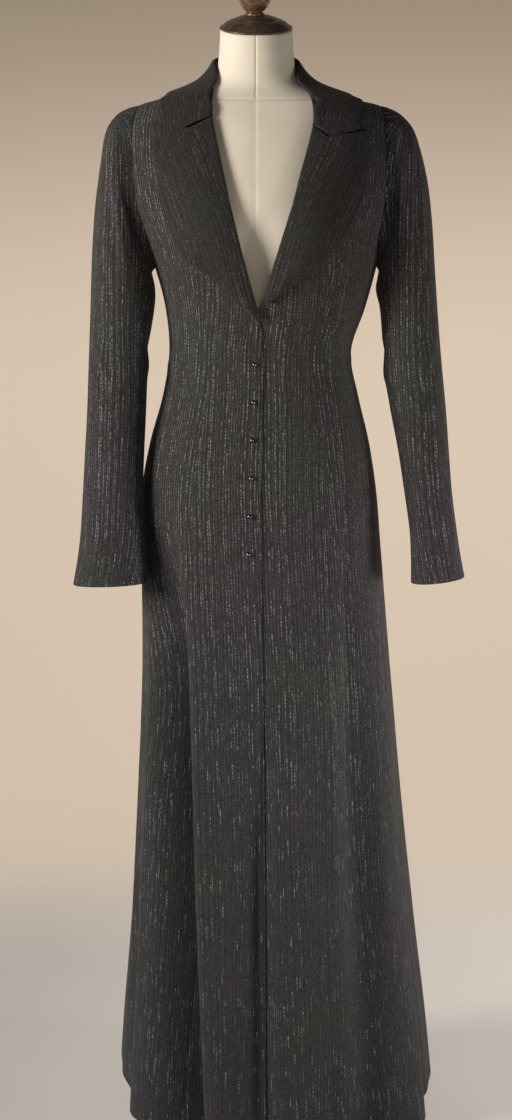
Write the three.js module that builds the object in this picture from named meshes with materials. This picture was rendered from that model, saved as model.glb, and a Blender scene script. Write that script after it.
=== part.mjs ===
import * as THREE from 'three';

// Evening coat, buttoned on a limbless dress form. Millimetres, +Z up, the front faces -Y.
// Right and left are the wearer's, so the right front lies at -X.

// Cloth thicknesses, and the gaps between pieces
const WALL = 2;
const TURNED_WALL = 2.6;
const SEAM_GAP = 0.3;
const LAY_GAP = 0.4;

// Outer surface of the coat, a closed section at each height: how far it reaches to each side,
// to the front and to the back, and how square it is, where 2 is an ellipse.
// Between the underarm and the shoulder point the sides are the line that the armhole cuts off.
// Above the shoulder the sections go on up the neck.
const BODY = [
  { z: 0, right: -188, left: 241, front: -214, back: 250, square: 2.9 },
  { z: 130, right: -181, left: 229, front: -200, back: 232, square: 2.8 },
  { z: 343, right: -169, left: 207, front: -177, back: 200, square: 2.5 },
  { z: 587, right: -158, left: 188, front: -153, back: 169, square: 2.35 },
  { z: 787, right: -158, left: 171, front: -135, back: 151, square: 2.25 },
  { z: 862, right: -157, left: 165, front: -128, back: 146, square: 2.2 },
  { z: 928, right: -145, left: 155, front: -119, back: 132, square: 2.2 },
  { z: 991, right: -127, left: 140, front: -109, back: 110, square: 2.2 },
  { z: 1050, right: -118, left: 130, front: -103, back: 91, square: 2.2 },
  { z: 1110, right: -123, left: 149, front: -111, back: 89, square: 2.25 },
  { z: 1165, right: -137, left: 164, front: -122, back: 96, square: 2.3 },
  { z: 1205, right: -152, left: 172, front: -127, back: 101, square: 2.3 },
  { z: 1250, right: -173, left: 186, front: -122, back: 105, square: 2.25 },
  { z: 1300, right: -186, left: 195, front: -108, back: 106, square: 2.2 },
  { z: 1352, right: -184, left: 192, front: -86, back: 98, square: 2.1 },
  { z: 1384, right: -158, left: 168, front: -68, back: 86, square: 2.1 },
  { z: 1390, right: -138, left: 143, front: -64, back: 83, square: 2.1 },
  { z: 1399, right: -108, left: 112, front: -58, back: 77, square: 2 },
  { z: 1406, right: -86, left: 88, front: -54, back: 72, square: 2 },
  { z: 1414, right: -68, left: 69, front: -52, back: 66, square: 2 },
  { z: 1426, right: -57, left: 58, front: -51, back: 60, square: 2 },
  { z: 1444, right: -54, left: 55, front: -50, back: 56, square: 2 },
  { z: 1470, right: -52, left: 53, front: -50, back: 53, square: 2 },
  { z: 1500, right: -51, left: 52, front: -50, back: 51, square: 2 },
];

// Long folds of the skirt. Each runs down from its top, turning about the body from one angle
// to another (degrees from the centre front), and stands out or sinks in by its depth, which it
// reaches at the given share of the way down. Its width before and after that angle differs, so
// that one wall can be steep.
const FOLDS = [
  { name: 'right front valley', top: 900, full: 0.5, turnTop: -47, turnHem: -30.5, before: 16, after: 4, depth: -54 },
  { name: 'right front crest', top: 900, full: 0.6, turnTop: -35, turnHem: -18, before: 6, after: 12, depth: 10 },
  { name: 'edge valley', top: 800, full: 0.7, turnTop: -3, turnHem: -6.5, before: 7, after: 5, depth: -20 },
  { name: 'left front crest', top: 860, full: 0.7, turnTop: 25, turnHem: 21, before: 14, after: 9, depth: 12 },
  { name: 'left front valley', top: 900, full: 0.7, turnTop: 46, turnHem: 33, before: 9, after: 8, depth: -20 },
  { name: 'left corner crest', top: 820, full: 0.75, turnTop: 62, turnHem: 56, before: 9, after: 9, depth: 7 },
  { name: 'left side valley', top: 620, full: 0.75, turnTop: 76, turnHem: 73, before: 8, after: 8, depth: -12 },
  { name: 'right corner valley', top: 700, full: 0.75, turnTop: -60, turnHem: -55, before: 9, after: 9, depth: -4 },
  { name: 'right side valley', top: 560, full: 0.75, turnTop: -76, turnHem: -73, before: 9, after: 9, depth: -15 },
  { name: 'left back crest', top: 840, full: 0.75, turnTop: 112, turnHem: 108, before: 13, after: 13, depth: 12 },
  { name: 'left back valley', top: 880, full: 0.7, turnTop: 138, turnHem: 134, before: 8, after: 14, depth: -20 },
  { name: 'centre back crest', top: 860, full: 0.75, turnTop: 176, turnHem: 163, before: 14, after: 14, depth: 12 },
  { name: 'right back valley', top: 880, full: 0.7, turnTop: 213, turnHem: 203, before: 15, after: 8, depth: -22 },
  { name: 'right back crest', top: 820, full: 0.75, turnTop: 242, turnHem: 244, before: 13, after: 13, depth: 11 },
];

// Height of the hem above the floor, round the body
const HEM = [
  { turn: -180, z: 22 },
  { turn: -112, z: 43 },
  { turn: -86, z: 41 },
  { turn: -60, z: 12 },
  { turn: 0, z: 9 },
  { turn: 60, z: 9 },
  { turn: 88, z: 20 },
  { turn: 115, z: 24 },
  { turn: 180, z: 22 },
];
const HEM_BLEND = 260;

// Shaping over the bust
const BUST = { x: 78, z: 1203, spread: 50, lift: 9 };

// Inner edges of the fronts: the overlap, then the roll line up to the neck
const FRONT_EDGE = {
  right: [
    { z: 0, x: 12 },
    { z: 374, x: 11 },
    { z: 699, x: 8 },
    { z: 859, x: 7 },
    { z: 991, x: 9 },
    { z: 1057, x: 9 },
    { z: 1098, x: 5 },
    { z: 1114, x: 1 },
    { z: 1149, x: -9 },
    { z: 1241, x: -32 },
    { z: 1333, x: -52 },
    { z: 1366, x: -58 },
    { z: 1385, x: -59 },
    { z: 1406, x: -57 },
  ],
  left: [
    { z: 0, x: -20 },
    { z: 1050, x: -20 },
    { z: 1085, x: -14 },
    { z: 1110, x: 4 },
    { z: 1124, x: 10 },
    { z: 1162, x: 21 },
    { z: 1241, x: 46 },
    { z: 1287, x: 58 },
    { z: 1352, x: 75 },
    { z: 1379, x: 76 },
    { z: 1396, x: 72 },
    { z: 1406, x: 66 },
  ],
};
// The left front sinks below the right one over this width, up to this height
const OVERLAP = { start: 6, end: 26, top: 1112, fade: 1140, waistDrop: 1.2, hemDrop: 6, waistZ: 1000 };

// Front princess seams, from the hem to the armhole
const PRINCESS = {
  right: [
    { z: 0, x: -124 },
    { z: 343, x: -108 },
    { z: 787, x: -88 },
    { z: 892, x: -80 },
    { z: 1050, x: -62 },
    { z: 1110, x: -72 },
    { z: 1170, x: -92 },
    { z: 1200, x: -106 },
    { z: 1250, x: -140 },
  ],
  left: [
    { z: 0, x: 140 },
    { z: 343, x: 120 },
    { z: 787, x: 96 },
    { z: 892, x: 89 },
    { z: 1050, x: 75 },
    { z: 1110, x: 88 },
    { z: 1170, x: 106 },
    { z: 1200, x: 118 },
    { z: 1250, x: 150 },
  ],
};
// Back princess seams, as angles from the centre front
const BACK_PRINCESS = [
  { z: 0, turn: 143 },
  { z: 850, turn: 146 },
  { z: 1050, turn: 146 },
  { z: 1170, turn: 141 },
  { z: 1210, turn: 137 },
  { z: 1250, turn: 129 },
];

// Armholes: a loop that bends round the shoulder, deeper at the back
const ARMHOLE = { top: 1384, under: 1165, front: 55, back: 64, steps: 12, princessStep: 5 };
// The narrowest end of a side panel, at the armhole
const POINT_WIDTH = 1.2;

// Heights of the grid rows, up to the underarm and above the shoulder point
const SKIRT_ROWS = [0, 45, 110, 190, 280, 380, 480, 580, 670, 750, 820, 875, 920, 960, 1000, 1040, 1080, 1110, 1135];
const SHOULDER_ROWS = [1390, 1396, 1401, 1405];

// Sleeves: at each section the outer and inner ends, the middle's depth place and the half depth
const SLEEVE = {
  right: [
    { outerX: -158, outerZ: 1384, innerX: -137, innerZ: 1165, y: 0, half: 60 },
    { outerX: -173, outerZ: 1380, innerX: -141, innerZ: 1161, y: 0, half: 60 },
    { outerX: -190, outerZ: 1370, innerX: -143, innerZ: 1156, y: -1, half: 60 },
    { outerX: -204, outerZ: 1347, innerX: -141, innerZ: 1149, y: -2, half: 60 },
    { outerX: -211, outerZ: 1304, innerX: -138.5, innerZ: 1138, y: -3, half: 59 },
    { outerX: -218, outerZ: 1250, innerX: -138, innerZ: 1122, y: -4, half: 58 },
    { outerX: -223, outerZ: 1180, innerX: -140.5, innerZ: 1100, y: -6, half: 56 },
    { outerX: -226, outerZ: 1100, innerX: -145, innerZ: 1070, y: -9, half: 54 },
    { outerX: -228, outerZ: 1036, innerX: -148, innerZ: 1032, y: -14, half: 52 },
    { outerX: -230, outerZ: 970, innerX: -150, innerZ: 970, y: -22, half: 50 },
    { outerX: -233, outerZ: 915, innerX: -152, innerZ: 915, y: -33, half: 49 },
    { outerX: -235.5, outerZ: 862, innerX: -153, innerZ: 862, y: -46, half: 48 },
    { outerX: -238, outerZ: 808, innerX: -151, innerZ: 810, y: -60, half: 47 },
    { outerX: -242, outerZ: 772, innerX: -149, innerZ: 775, y: -67, half: 48 },
    { outerX: -248, outerZ: 738, innerX: -148, innerZ: 741, y: -72, half: 49 },
  ],
  left: [
    { outerX: 168, outerZ: 1384, innerX: 164, innerZ: 1165, y: 0, half: 60 },
    { outerX: 182, outerZ: 1380, innerX: 167, innerZ: 1161, y: 0, half: 60 },
    { outerX: 198, outerZ: 1371, innerX: 167.5, innerZ: 1156, y: -1, half: 60 },
    { outerX: 214, outerZ: 1352, innerX: 166, innerZ: 1149, y: -2, half: 60 },
    { outerX: 225, outerZ: 1320, innerX: 163.5, innerZ: 1139, y: -3, half: 59 },
    { outerX: 234, outerZ: 1280, innerX: 164.5, innerZ: 1128, y: -4, half: 58 },
    { outerX: 240, outerZ: 1225, innerX: 168.5, innerZ: 1112, y: -6, half: 57 },
    { outerX: 245, outerZ: 1150, innerX: 171, innerZ: 1088, y: -9, half: 55 },
    { outerX: 250, outerZ: 1075, innerX: 173, innerZ: 1055, y: -12, half: 54 },
    { outerX: 254, outerZ: 1025, innerX: 176, innerZ: 1018, y: -16, half: 53 },
    { outerX: 259, outerZ: 972, innerX: 183, innerZ: 972, y: -23, half: 51 },
    { outerX: 263, outerZ: 918, innerX: 193, innerZ: 918, y: -31, half: 49 },
    { outerX: 267, outerZ: 864, innerX: 201, innerZ: 864, y: -42, half: 48 },
    { outerX: 273, outerZ: 814, innerX: 208, innerZ: 814, y: -52, half: 48 },
    { outerX: 278, outerZ: 780, innerX: 210, innerZ: 777, y: -58, half: 49 },
    { outerX: 284, outerZ: 748, innerX: 210, innerZ: 739, y: -63, half: 50 },
  ],
};
// The sleeve head keeps the armhole's own shape over this many sections
const HEAD_BLEND = 5;
// Angles of the front and back sleeve seams, from the sleeve's outer line
const SLEEVE_SEAM = 105;
const SLEEVE_RADIUS = 50;
const UNDER_SLEEVE_COLUMNS = 10;
const UPPER_SLEEVE_COLUMNS = 14;

// Lapels: each row runs from a height on the roll line to a point on the outer edge
const LAPEL = {
  right: [
    { rollZ: 1104, edgeX: -3, edgeZ: 1099 },
    { rollZ: 1124, edgeX: -27, edgeZ: 1121 },
    { rollZ: 1149, edgeX: -54, edgeZ: 1149 },
    { rollZ: 1172, edgeX: -88, edgeZ: 1173 },
    { rollZ: 1204, edgeX: -111, edgeZ: 1208 },
    { rollZ: 1241, edgeX: -123, edgeZ: 1243 },
    { rollZ: 1287, edgeX: -131, edgeZ: 1284 },
    { rollZ: 1330, edgeX: -137, edgeZ: 1322 },
    { rollZ: 1364, edgeX: -141, edgeZ: 1357 },
  ],
  left: [
    { rollZ: 1121, edgeX: 18, edgeZ: 1119 },
    { rollZ: 1132, edgeX: 36, edgeZ: 1134 },
    { rollZ: 1149, edgeX: 58, edgeZ: 1150 },
    { rollZ: 1172, edgeX: 82, edgeZ: 1170 },
    { rollZ: 1204, edgeX: 112, edgeZ: 1198 },
    { rollZ: 1241, edgeX: 134, edgeZ: 1236 },
    { rollZ: 1287, edgeX: 148, edgeZ: 1283 },
    { rollZ: 1320, edgeX: 152, edgeZ: 1314 },
    { rollZ: 1351, edgeX: 150, edgeZ: 1346 },
  ],
};
// Where the notch is, as a share of the top row, and how far the row dips there
const NOTCH = { right: { at: 0.36, dip: 14 }, left: { at: 0.26, dip: 14 } };
const LAPEL_COLUMNS = 7;
const LAPEL_LIFT = 4.5;

// Collar fall: its fold and its outer edge, from one gorge round the back to the other.
// Turns are degrees from the centre front on the body's sections, and tent is how far the
// fall hangs straight from fold to edge instead of lying on the cloth below.
const COLLAR = [
  { foldTurn: -20.5, foldZ: 1366, edgeTurn: -46.5, edgeZ: 1362, tent: 0 },
  { foldTurn: -23.5, foldZ: 1385, edgeTurn: -48.5, edgeZ: 1375, tent: 0 },
  { foldTurn: -41, foldZ: 1406, edgeTurn: -59, edgeZ: 1389, tent: 0.3 },
  { foldTurn: -68, foldZ: 1428, edgeTurn: -84, edgeZ: 1397, tent: 0.5 },
  { foldTurn: -90, foldZ: 1443, edgeTurn: -108, edgeZ: 1397, tent: 0.5 },
  { foldTurn: -118, foldZ: 1450, edgeTurn: -130, edgeZ: 1390, tent: 0.5 },
  { foldTurn: -150, foldZ: 1455, edgeTurn: -154, edgeZ: 1382, tent: 0.5 },
  { foldTurn: -180, foldZ: 1456, edgeTurn: -180, edgeZ: 1379, tent: 0.5 },
  { foldTurn: -210, foldZ: 1455, edgeTurn: -206, edgeZ: 1382, tent: 0.5 },
  { foldTurn: -242, foldZ: 1450, edgeTurn: -230, edgeZ: 1390, tent: 0.5 },
  { foldTurn: -270, foldZ: 1441, edgeTurn: -252, edgeZ: 1396, tent: 0.5 },
  { foldTurn: -292, foldZ: 1426, edgeTurn: -275, edgeZ: 1396, tent: 0.5 },
  { foldTurn: -317, foldZ: 1406, edgeTurn: -302, edgeZ: 1386, tent: 0.3 },
  { foldTurn: -334.5, foldZ: 1379, edgeTurn: -314, edgeZ: 1364, tent: 0 },
  { foldTurn: -337, foldZ: 1353.5, edgeTurn: -318, edgeZ: 1347, tent: 0 },
];
const COLLAR_STEPS = 28;
const COLLAR_COLUMNS = 5;
const COLLAR_NOTCH = { right: { at: 0.43, dip: 14 }, left: { at: 0.34, dip: 12 } };
const COLLAR_LIFT = 3.2;
const STAND = { from: -64, to: -296, bottom: 1405.4, below: 1.2, steps: 22, columns: 3 };

// Ball buttons with a short shank, down the closing
const BUTTONS = { count: 6, topZ: 1036, pitch: 50.2, x: -2, drift: -1.6, radius: 3.4, shank: 1.4 };

// Grid columns of each piece of the body
const FRONT_COLUMNS = 8;
const SIDE_COLUMNS = 6;
const BACK_COLUMNS = 6;

// Dress form: room left inside the coat, and where its shoulders end
const FORM_EASE = [
  { z: 780, ease: 11 },
  { z: 870, ease: 9 },
  { z: 1050, ease: 5.5 },
  { z: 1165, ease: 4.5 },
  { z: 1274, ease: 3 },
  { z: 1340, ease: 1.2 },
  { z: 1384, ease: 0.7 },
  { z: 1405, ease: 0.7 },
  { z: 1418, ease: 1.2 },
  { z: 1440, ease: 1 },
  { z: 1500, ease: 1 },
];
const FORM_SHOULDER = { right: -146, left: 155 };
const FORM_HOLLOW = { z: 1165, height: 55, width: 34, depth: 12 };
const FORM_ROWS = [
  800, 850, 900, 950, 1000, 1050, 1100, 1140, 1175, 1210, 1250, 1290, 1325, 1352, 1370, 1384, 1392, 1399, 1405,
  1411, 1419, 1430, 1450, 1486,
];
const FORM_COLUMNS = 30;
const NECK_TILT = { from: 1440, to: 1486, slope: 0.26 };
const CAP = { radius: 49, lip: 3, dome: 16 };
const FINIAL = { x: -2, neck: 13, ball: 22.5, height: 49 };
const POLE = { radius: 17, collarRadius: 30, collarHeight: 26 };
const BASE = { radius: 158, edge: 14, height: 34, boss: 42 };

const RADIANS = Math.PI / 180;
const HALF_PI = Math.PI / 2;

const materials = {
  cloth: { color: 0x34312f, roughness: 0.92, metalness: 0 },
  turnedCloth: { color: 0x2f2c2a, roughness: 0.9, metalness: 0 },
  button: { color: 0x6a696b, roughness: 0.2, metalness: 1 },
  formCover: { color: 0xdcd2bf, roughness: 0.85, metalness: 0 },
  darkWood: { color: 0x4a3022, roughness: 0.45, metalness: 0 },
  steel: { color: 0x55534f, roughness: 0.4, metalness: 0.9 },
};

function lerp(a, b, share) {
  return a + (b - a) * share;
}

function smooth(low, high, value) {
  return THREE.MathUtils.smoothstep(value, low, high);
}

// The value of a column at a place between rows, on a smooth curve through them
function along(rows, key, column, at) {
  const last = rows.length - 1;
  const step = rows[last][key] > rows[0][key] ? 1 : -1;
  let i = 0;
  while (i < last - 1 && (rows[i + 1][key] - at) * step < 0) {
    i += 1;
  }
  const slope = (a, b) => (rows[b][column] - rows[a][column]) / (rows[b][key] - rows[a][key]);
  const span = rows[i + 1][key] - rows[i][key];
  const share = THREE.MathUtils.clamp((at - rows[i][key]) / span, 0, 1);
  const start = i > 0 ? slope(i - 1, i + 1) : slope(i, i + 1);
  const end = i < last - 1 ? slope(i, i + 2) : slope(i, i + 1);
  const square = share * share;
  const cube = square * share;
  return (
    rows[i][column] * (2 * cube - 3 * square + 1) +
    start * span * (cube - 2 * square + share) +
    rows[i + 1][column] * (3 * square - 2 * cube) +
    end * span * (cube - square)
  );
}

// The same for a table whose rows are evenly spaced, by row number
function between(rows, column, at) {
  const i = THREE.MathUtils.clamp(Math.floor(at), 0, rows.length - 2);
  const share = at - i;
  const a = rows[Math.max(i - 1, 0)][column];
  const b = rows[i][column];
  const c = rows[i + 1][column];
  const d = rows[Math.min(i + 2, rows.length - 1)][column];
  const start = (c - a) / 2;
  const end = (d - b) / 2;
  const square = share * share;
  const cube = square * share;
  return (
    b * (2 * cube - 3 * square + 1) +
    start * (cube - 2 * square + share) +
    c * (3 * square - 2 * cube) +
    end * (cube - square)
  );
}

// One section of the body at a height, with its sides held in for the dress form if limits are given
function section(z, limits) {
  const row = {};
  for (const column of ['right', 'left', 'front', 'back', 'square']) {
    row[column] = along(BODY, 'z', column, z);
  }
  if (limits) {
    row.right = Math.max(row.right, limits.right);
    row.left = Math.min(row.left, limits.left);
  }
  row.centre = (row.left + row.right) / 2;
  row.half = (row.left - row.right) / 2;
  return row;
}

// A point on the plain section, at an angle from the centre front
function sectionPoint(row, turn) {
  const across = Math.sin(turn);
  const ahead = Math.cos(turn);
  const reach = (Math.abs(across) ** row.square + Math.abs(ahead) ** row.square) ** (-1 / row.square);
  const x = row.centre + row.half * across * reach;
  const y = ahead > 0 ? row.front * ahead * reach : -row.back * ahead * reach;
  return { x, y };
}

// How far the folds push the cloth out at an angle and height
function foldDepth(turn, z) {
  let depth = 0;
  for (const fold of FOLDS) {
    if (z < fold.top) {
      const down = 1 - z / fold.top;
      const middle = lerp(fold.turnTop, fold.turnHem, down) * RADIANS;
      const turned = Math.atan2(Math.sin(turn - middle), Math.cos(turn - middle)) / RADIANS;
      const away = turned / (turned < 0 ? fold.before : fold.after);
      depth += fold.depth * smooth(0, fold.full, down) * Math.exp(-away * away);
    }
  }
  return depth;
}

function bustLift(x, z) {
  const drop = (z - BUST.z) / BUST.spread;
  const side = (Math.abs(x) - BUST.x) / BUST.spread;
  return BUST.lift * Math.exp(-drop * drop - side * side);
}

function hemHeight(turn) {
  const degrees = Math.atan2(Math.sin(turn), Math.cos(turn)) / RADIANS;
  return along(HEM, 'turn', 'z', degrees);
}

// A point on the coat's outer surface
function bodyPoint(turn, z) {
  const row = section(z);
  const { x, y } = sectionPoint(row, turn);
  const depth = y < 0 ? row.front : row.back;
  const outward = new THREE.Vector2((x - row.centre) / row.half ** 2, y / depth ** 2).normalize();
  const push = foldDepth(turn, z);
  const lift = y < 0 ? bustLift(x, z) : 0;
  const hem = hemHeight(turn) * (1 - smooth(0, HEM_BLEND, z));
  return new THREE.Vector3(x + outward.x * push, y + outward.y * push - lift, z + hem);
}

// A point moved out from a surface along its normal, or in if out is negative
function offsetPoint(surface, a, b, out, stepA, stepB) {
  const point = surface(a, b);
  if (out === 0) {
    return point;
  }
  const alongA = surface(a + stepA, b).sub(surface(a - stepA, b));
  const alongB = surface(a, b + stepB).sub(surface(a, b - stepB));
  const normal = alongA.cross(alongB).normalize();
  return point.addScaledVector(normal, out);
}

function coatPoint(turn, z, out) {
  return offsetPoint(bodyPoint, turn, z, out, 0.01, 1.5);
}

// The angle at which the front of a section has a given x
function turnAtX(x, z) {
  const row = section(z);
  let low = -HALF_PI;
  let high = HALF_PI;
  for (let i = 0; i < 40; i += 1) {
    const middle = (low + high) / 2;
    if (sectionPoint(row, middle).x < x) {
      low = middle;
    } else {
      high = middle;
    }
  }
  return (low + high) / 2;
}

// The angle at which one side of a section has a given y
function turnAtDepth(sign, y, z) {
  const row = section(z);
  let low = 0;
  let high = Math.PI;
  for (let i = 0; i < 40; i += 1) {
    const middle = (low + high) / 2;
    if (sectionPoint(row, middle).y < y) {
      low = middle;
    } else {
      high = middle;
    }
  }
  return (sign * (low + high)) / 2;
}

// Armhole rows: the heights of the loop's points, and the y of its front or back at a height
const armholeMiddle = (ARMHOLE.top + ARMHOLE.under) / 2;
const armholeHalf = (ARMHOLE.top - ARMHOLE.under) / 2;

function armholeHeight(step) {
  return armholeMiddle - armholeHalf * Math.cos((Math.PI * step) / ARMHOLE.steps);
}

function armholeTurn(sign, z, depth) {
  const level = THREE.MathUtils.clamp((z - armholeMiddle) / armholeHalf, -1, 1);
  return turnAtDepth(sign, depth * Math.sqrt(1 - level * level), z);
}

const armholeRows = Array.from({ length: ARMHOLE.steps + 1 }, (_, step) => armholeHeight(step));
const longRows = [...SKIRT_ROWS, ...armholeRows, ...SHOULDER_ROWS];
const shortRows = [...SKIRT_ROWS, ...armholeRows.slice(0, ARMHOLE.princessStep + 1)];
const princessTop = armholeHeight(ARMHOLE.princessStep);

// Seam lines, as angles at a height. Sign is -1 for the wearer's right and 1 for the left.
function sideName(sign) {
  return sign < 0 ? 'right' : 'left';
}

function frontEdgeTurn(sign, z) {
  return turnAtX(along(FRONT_EDGE[sideName(sign)], 'z', 'x', z), z);
}

function outerTurn(sign, z, depth) {
  const inArmhole = z > ARMHOLE.under && z < ARMHOLE.top;
  return inArmhole ? armholeTurn(sign, z, depth) : sign * HALF_PI;
}

function pointed(sign, z, seam, outer, towards) {
  if (z > princessTop + 0.01) {
    return outer;
  }
  const share = smooth(princessTop - 50, princessTop, z);
  return lerp(seam, outer + (towards * sign * POINT_WIDTH) / 100, share);
}

function frontPrincessTurn(sign, z) {
  const seam = turnAtX(along(PRINCESS[sideName(sign)], 'z', 'x', z), z);
  return pointed(sign, z, seam, outerTurn(sign, z, -ARMHOLE.front), -1);
}

function backPrincessTurn(sign, z) {
  const seam = sign * along(BACK_PRINCESS, 'z', 'turn', z) * RADIANS;
  return pointed(sign, z, seam, outerTurn(sign, z, ARMHOLE.back), 1);
}

// How far the left front sinks to pass under the right one
function underlap(x, z) {
  const edge = along(FRONT_EDGE.right, 'z', 'x', Math.min(z, OVERLAP.top));
  const across = 1 - smooth(edge + OVERLAP.start, edge + OVERLAP.end, x);
  const drop = lerp(OVERLAP.hemDrop, OVERLAP.waistDrop, Math.min(z / OVERLAP.waistZ, 1));
  return (WALL + drop) * across * (1 - smooth(OVERLAP.top, OVERLAP.fade, z));
}

// A closed wall of cloth. place(u, v, depth) gives a point for a share across and a row,
// at a depth below the outer surface.
function wallGeometry(columns, rows, thickness, place) {
  const positions = [];
  for (const depth of [0, thickness]) {
    for (let j = 0; j <= rows; j += 1) {
      for (let i = 0; i <= columns; i += 1) {
        positions.push(...place(i / columns, j, depth).toArray());
      }
    }
  }
  const across = columns + 1;
  const layer = across * (rows + 1);
  const index = [];
  const face = (a, b, c, d) => index.push(a, b, c, a, c, d);
  for (let j = 0; j < rows; j += 1) {
    for (let i = 0; i < columns; i += 1) {
      const a = j * across + i;
      face(a, a + 1, a + across + 1, a + across);
      face(a + layer, a + layer + across, a + layer + across + 1, a + layer + 1);
    }
    const low = j * across;
    const high = low + across;
    face(low, high, high + layer, low + layer);
    face(low + columns, low + columns + layer, high + columns + layer, high + columns);
  }
  for (let i = 0; i < columns; i += 1) {
    const top = rows * across + i;
    face(i, i + layer, i + 1 + layer, i + 1);
    face(top, top + 1, top + 1 + layer, top + layer);
  }
  return closedGeometry(positions, index);
}

// Turns the faces out if the closed mesh was built the other way round
function closedGeometry(positions, index) {
  let volume = 0;
  const corner = (i) => new THREE.Vector3().fromArray(positions, index[i] * 3);
  for (let i = 0; i < index.length; i += 3) {
    volume += corner(i).dot(corner(i + 1).cross(corner(i + 2)));
  }
  if (volume < 0) {
    for (let i = 0; i < index.length; i += 3) {
      [index[i + 1], index[i + 2]] = [index[i + 2], index[i + 1]];
    }
  }
  const geometry = new THREE.BufferGeometry();
  geometry.setAttribute('position', new THREE.Float32BufferAttribute(positions, 3));
  geometry.setIndex(index);
  geometry.computeVertexNormals();
  return geometry;
}

const model = new THREE.Group();

function addPiece(name, geometry, material) {
  const mesh = new THREE.Mesh(geometry, new THREE.MeshStandardMaterial(material));
  mesh.name = name;
  model.add(mesh);
  return mesh;
}

// A seam line moved into its panel by half a seam gap, measured along the cloth
function insetTurn(turn, z, towards) {
  const step = 0.002;
  const stretch = bodyPoint(turn + towards * step, z).distanceTo(bodyPoint(turn, z)) / step;
  return turn + (towards * SEAM_GAP) / 2 / stretch;
}

// A body panel between two seam lines, parted from its neighbours
function addPanel(name, heights, columns, fromTurn, toTurn, sink) {
  const place = (u, row, depth) => {
    const z = heights[row];
    const from = fromTurn(z);
    const to = toTurn(z);
    const towards = Math.sign(to - from);
    const turn = lerp(insetTurn(from, z, towards), insetTurn(to, z, -towards), u);
    const sunk = sink ? sink(bodyPoint(turn, z).x, z) : 0;
    return coatPoint(turn, z, -depth - sunk);
  };
  addPiece(name, wallGeometry(columns, heights.length - 1, WALL, place), materials.cloth);
}

// Body panels
for (const sign of [-1, 1]) {
  const side = sideName(sign);
  addPanel(
    `front_${side}`,
    longRows,
    FRONT_COLUMNS,
    (z) => frontEdgeTurn(sign, z),
    (z) => (z > princessTop ? outerTurn(sign, z, -ARMHOLE.front) : frontPrincessTurn(sign, z)),
    sign > 0 ? underlap : null,
  );
  addPanel(
    `side_front_${side}`,
    shortRows,
    SIDE_COLUMNS,
    (z) => frontPrincessTurn(sign, z),
    (z) => outerTurn(sign, z, -ARMHOLE.front),
  );
  addPanel(
    `side_back_${side}`,
    shortRows,
    SIDE_COLUMNS,
    (z) => outerTurn(sign, z, ARMHOLE.back),
    (z) => backPrincessTurn(sign, z),
  );
  addPanel(
    `back_${side}`,
    longRows,
    BACK_COLUMNS,
    (z) => (z > princessTop ? outerTurn(sign, z, ARMHOLE.back) : backPrincessTurn(sign, z)),
    () => sign * Math.PI,
  );
}

// Sleeves. The first section is the armhole itself, and its shape fades into the table's sections.
function sleeveTablePoint(side, angle, at) {
  const rows = SLEEVE[side];
  const outer = new THREE.Vector3(between(rows, 'outerX', at), 0, between(rows, 'outerZ', at));
  const inner = new THREE.Vector3(between(rows, 'innerX', at), 0, between(rows, 'innerZ', at));
  const middle = outer.clone().add(inner).multiplyScalar(0.5);
  const reach = outer.sub(middle).multiplyScalar(Math.cos(angle));
  const depth = between(rows, 'y', at) - between(rows, 'half', at) * Math.sin(angle);
  return middle.add(reach).setY(depth);
}

function armholePoint(sign, angle) {
  const z = armholeMiddle + armholeHalf * Math.cos(angle);
  const depth = Math.sin(angle) > 0 ? -ARMHOLE.front : ARMHOLE.back;
  const turn = turnAtDepth(sign, depth * Math.abs(Math.sin(angle)), z);
  return bodyPoint(turn, z).add(new THREE.Vector3(sign * SEAM_GAP, 0, 0));
}

function sleevePoint(sign, angle, at) {
  const side = sideName(sign);
  const point = sleeveTablePoint(side, angle, at);
  const share = 1 - smooth(0, HEAD_BLEND, at);
  if (share > 0) {
    const kept = armholePoint(sign, angle).sub(sleeveTablePoint(side, angle, 0));
    point.addScaledVector(kept, share);
  }
  return point;
}

function addSleevePiece(name, sign, columns, fromAngle, toAngle) {
  const surface = (angle, at) => sleevePoint(sign, angle, at);
  const lastRow = SLEEVE[sideName(sign)].length - 1;
  const place = (u, row, depth) => {
    const inset = SEAM_GAP / 2 / SLEEVE_RADIUS;
    const angle = lerp(fromAngle + inset, toAngle - inset, u);
    const out = -sign * depth;
    return offsetPoint(surface, angle, row, out, 0.01, 0.02);
  };
  addPiece(name, wallGeometry(columns, lastRow, WALL, place), materials.cloth);
}

const seamAngle = SLEEVE_SEAM * RADIANS;
for (const sign of [-1, 1]) {
  const side = sideName(sign);
  addSleevePiece(`upper_sleeve_${side}`, sign, UPPER_SLEEVE_COLUMNS, -seamAngle, seamAngle);
  addSleevePiece(`under_sleeve_${side}`, sign, UNDER_SLEEVE_COLUMNS, seamAngle, 2 * Math.PI - seamAngle);
}

// Lapels lie on the fronts, made from the fronts' own points
function notchDip(notch, share) {
  const slope = share < notch.at ? share / notch.at : (1 - share) / (1 - notch.at);
  return notch.dip * slope;
}

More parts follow.
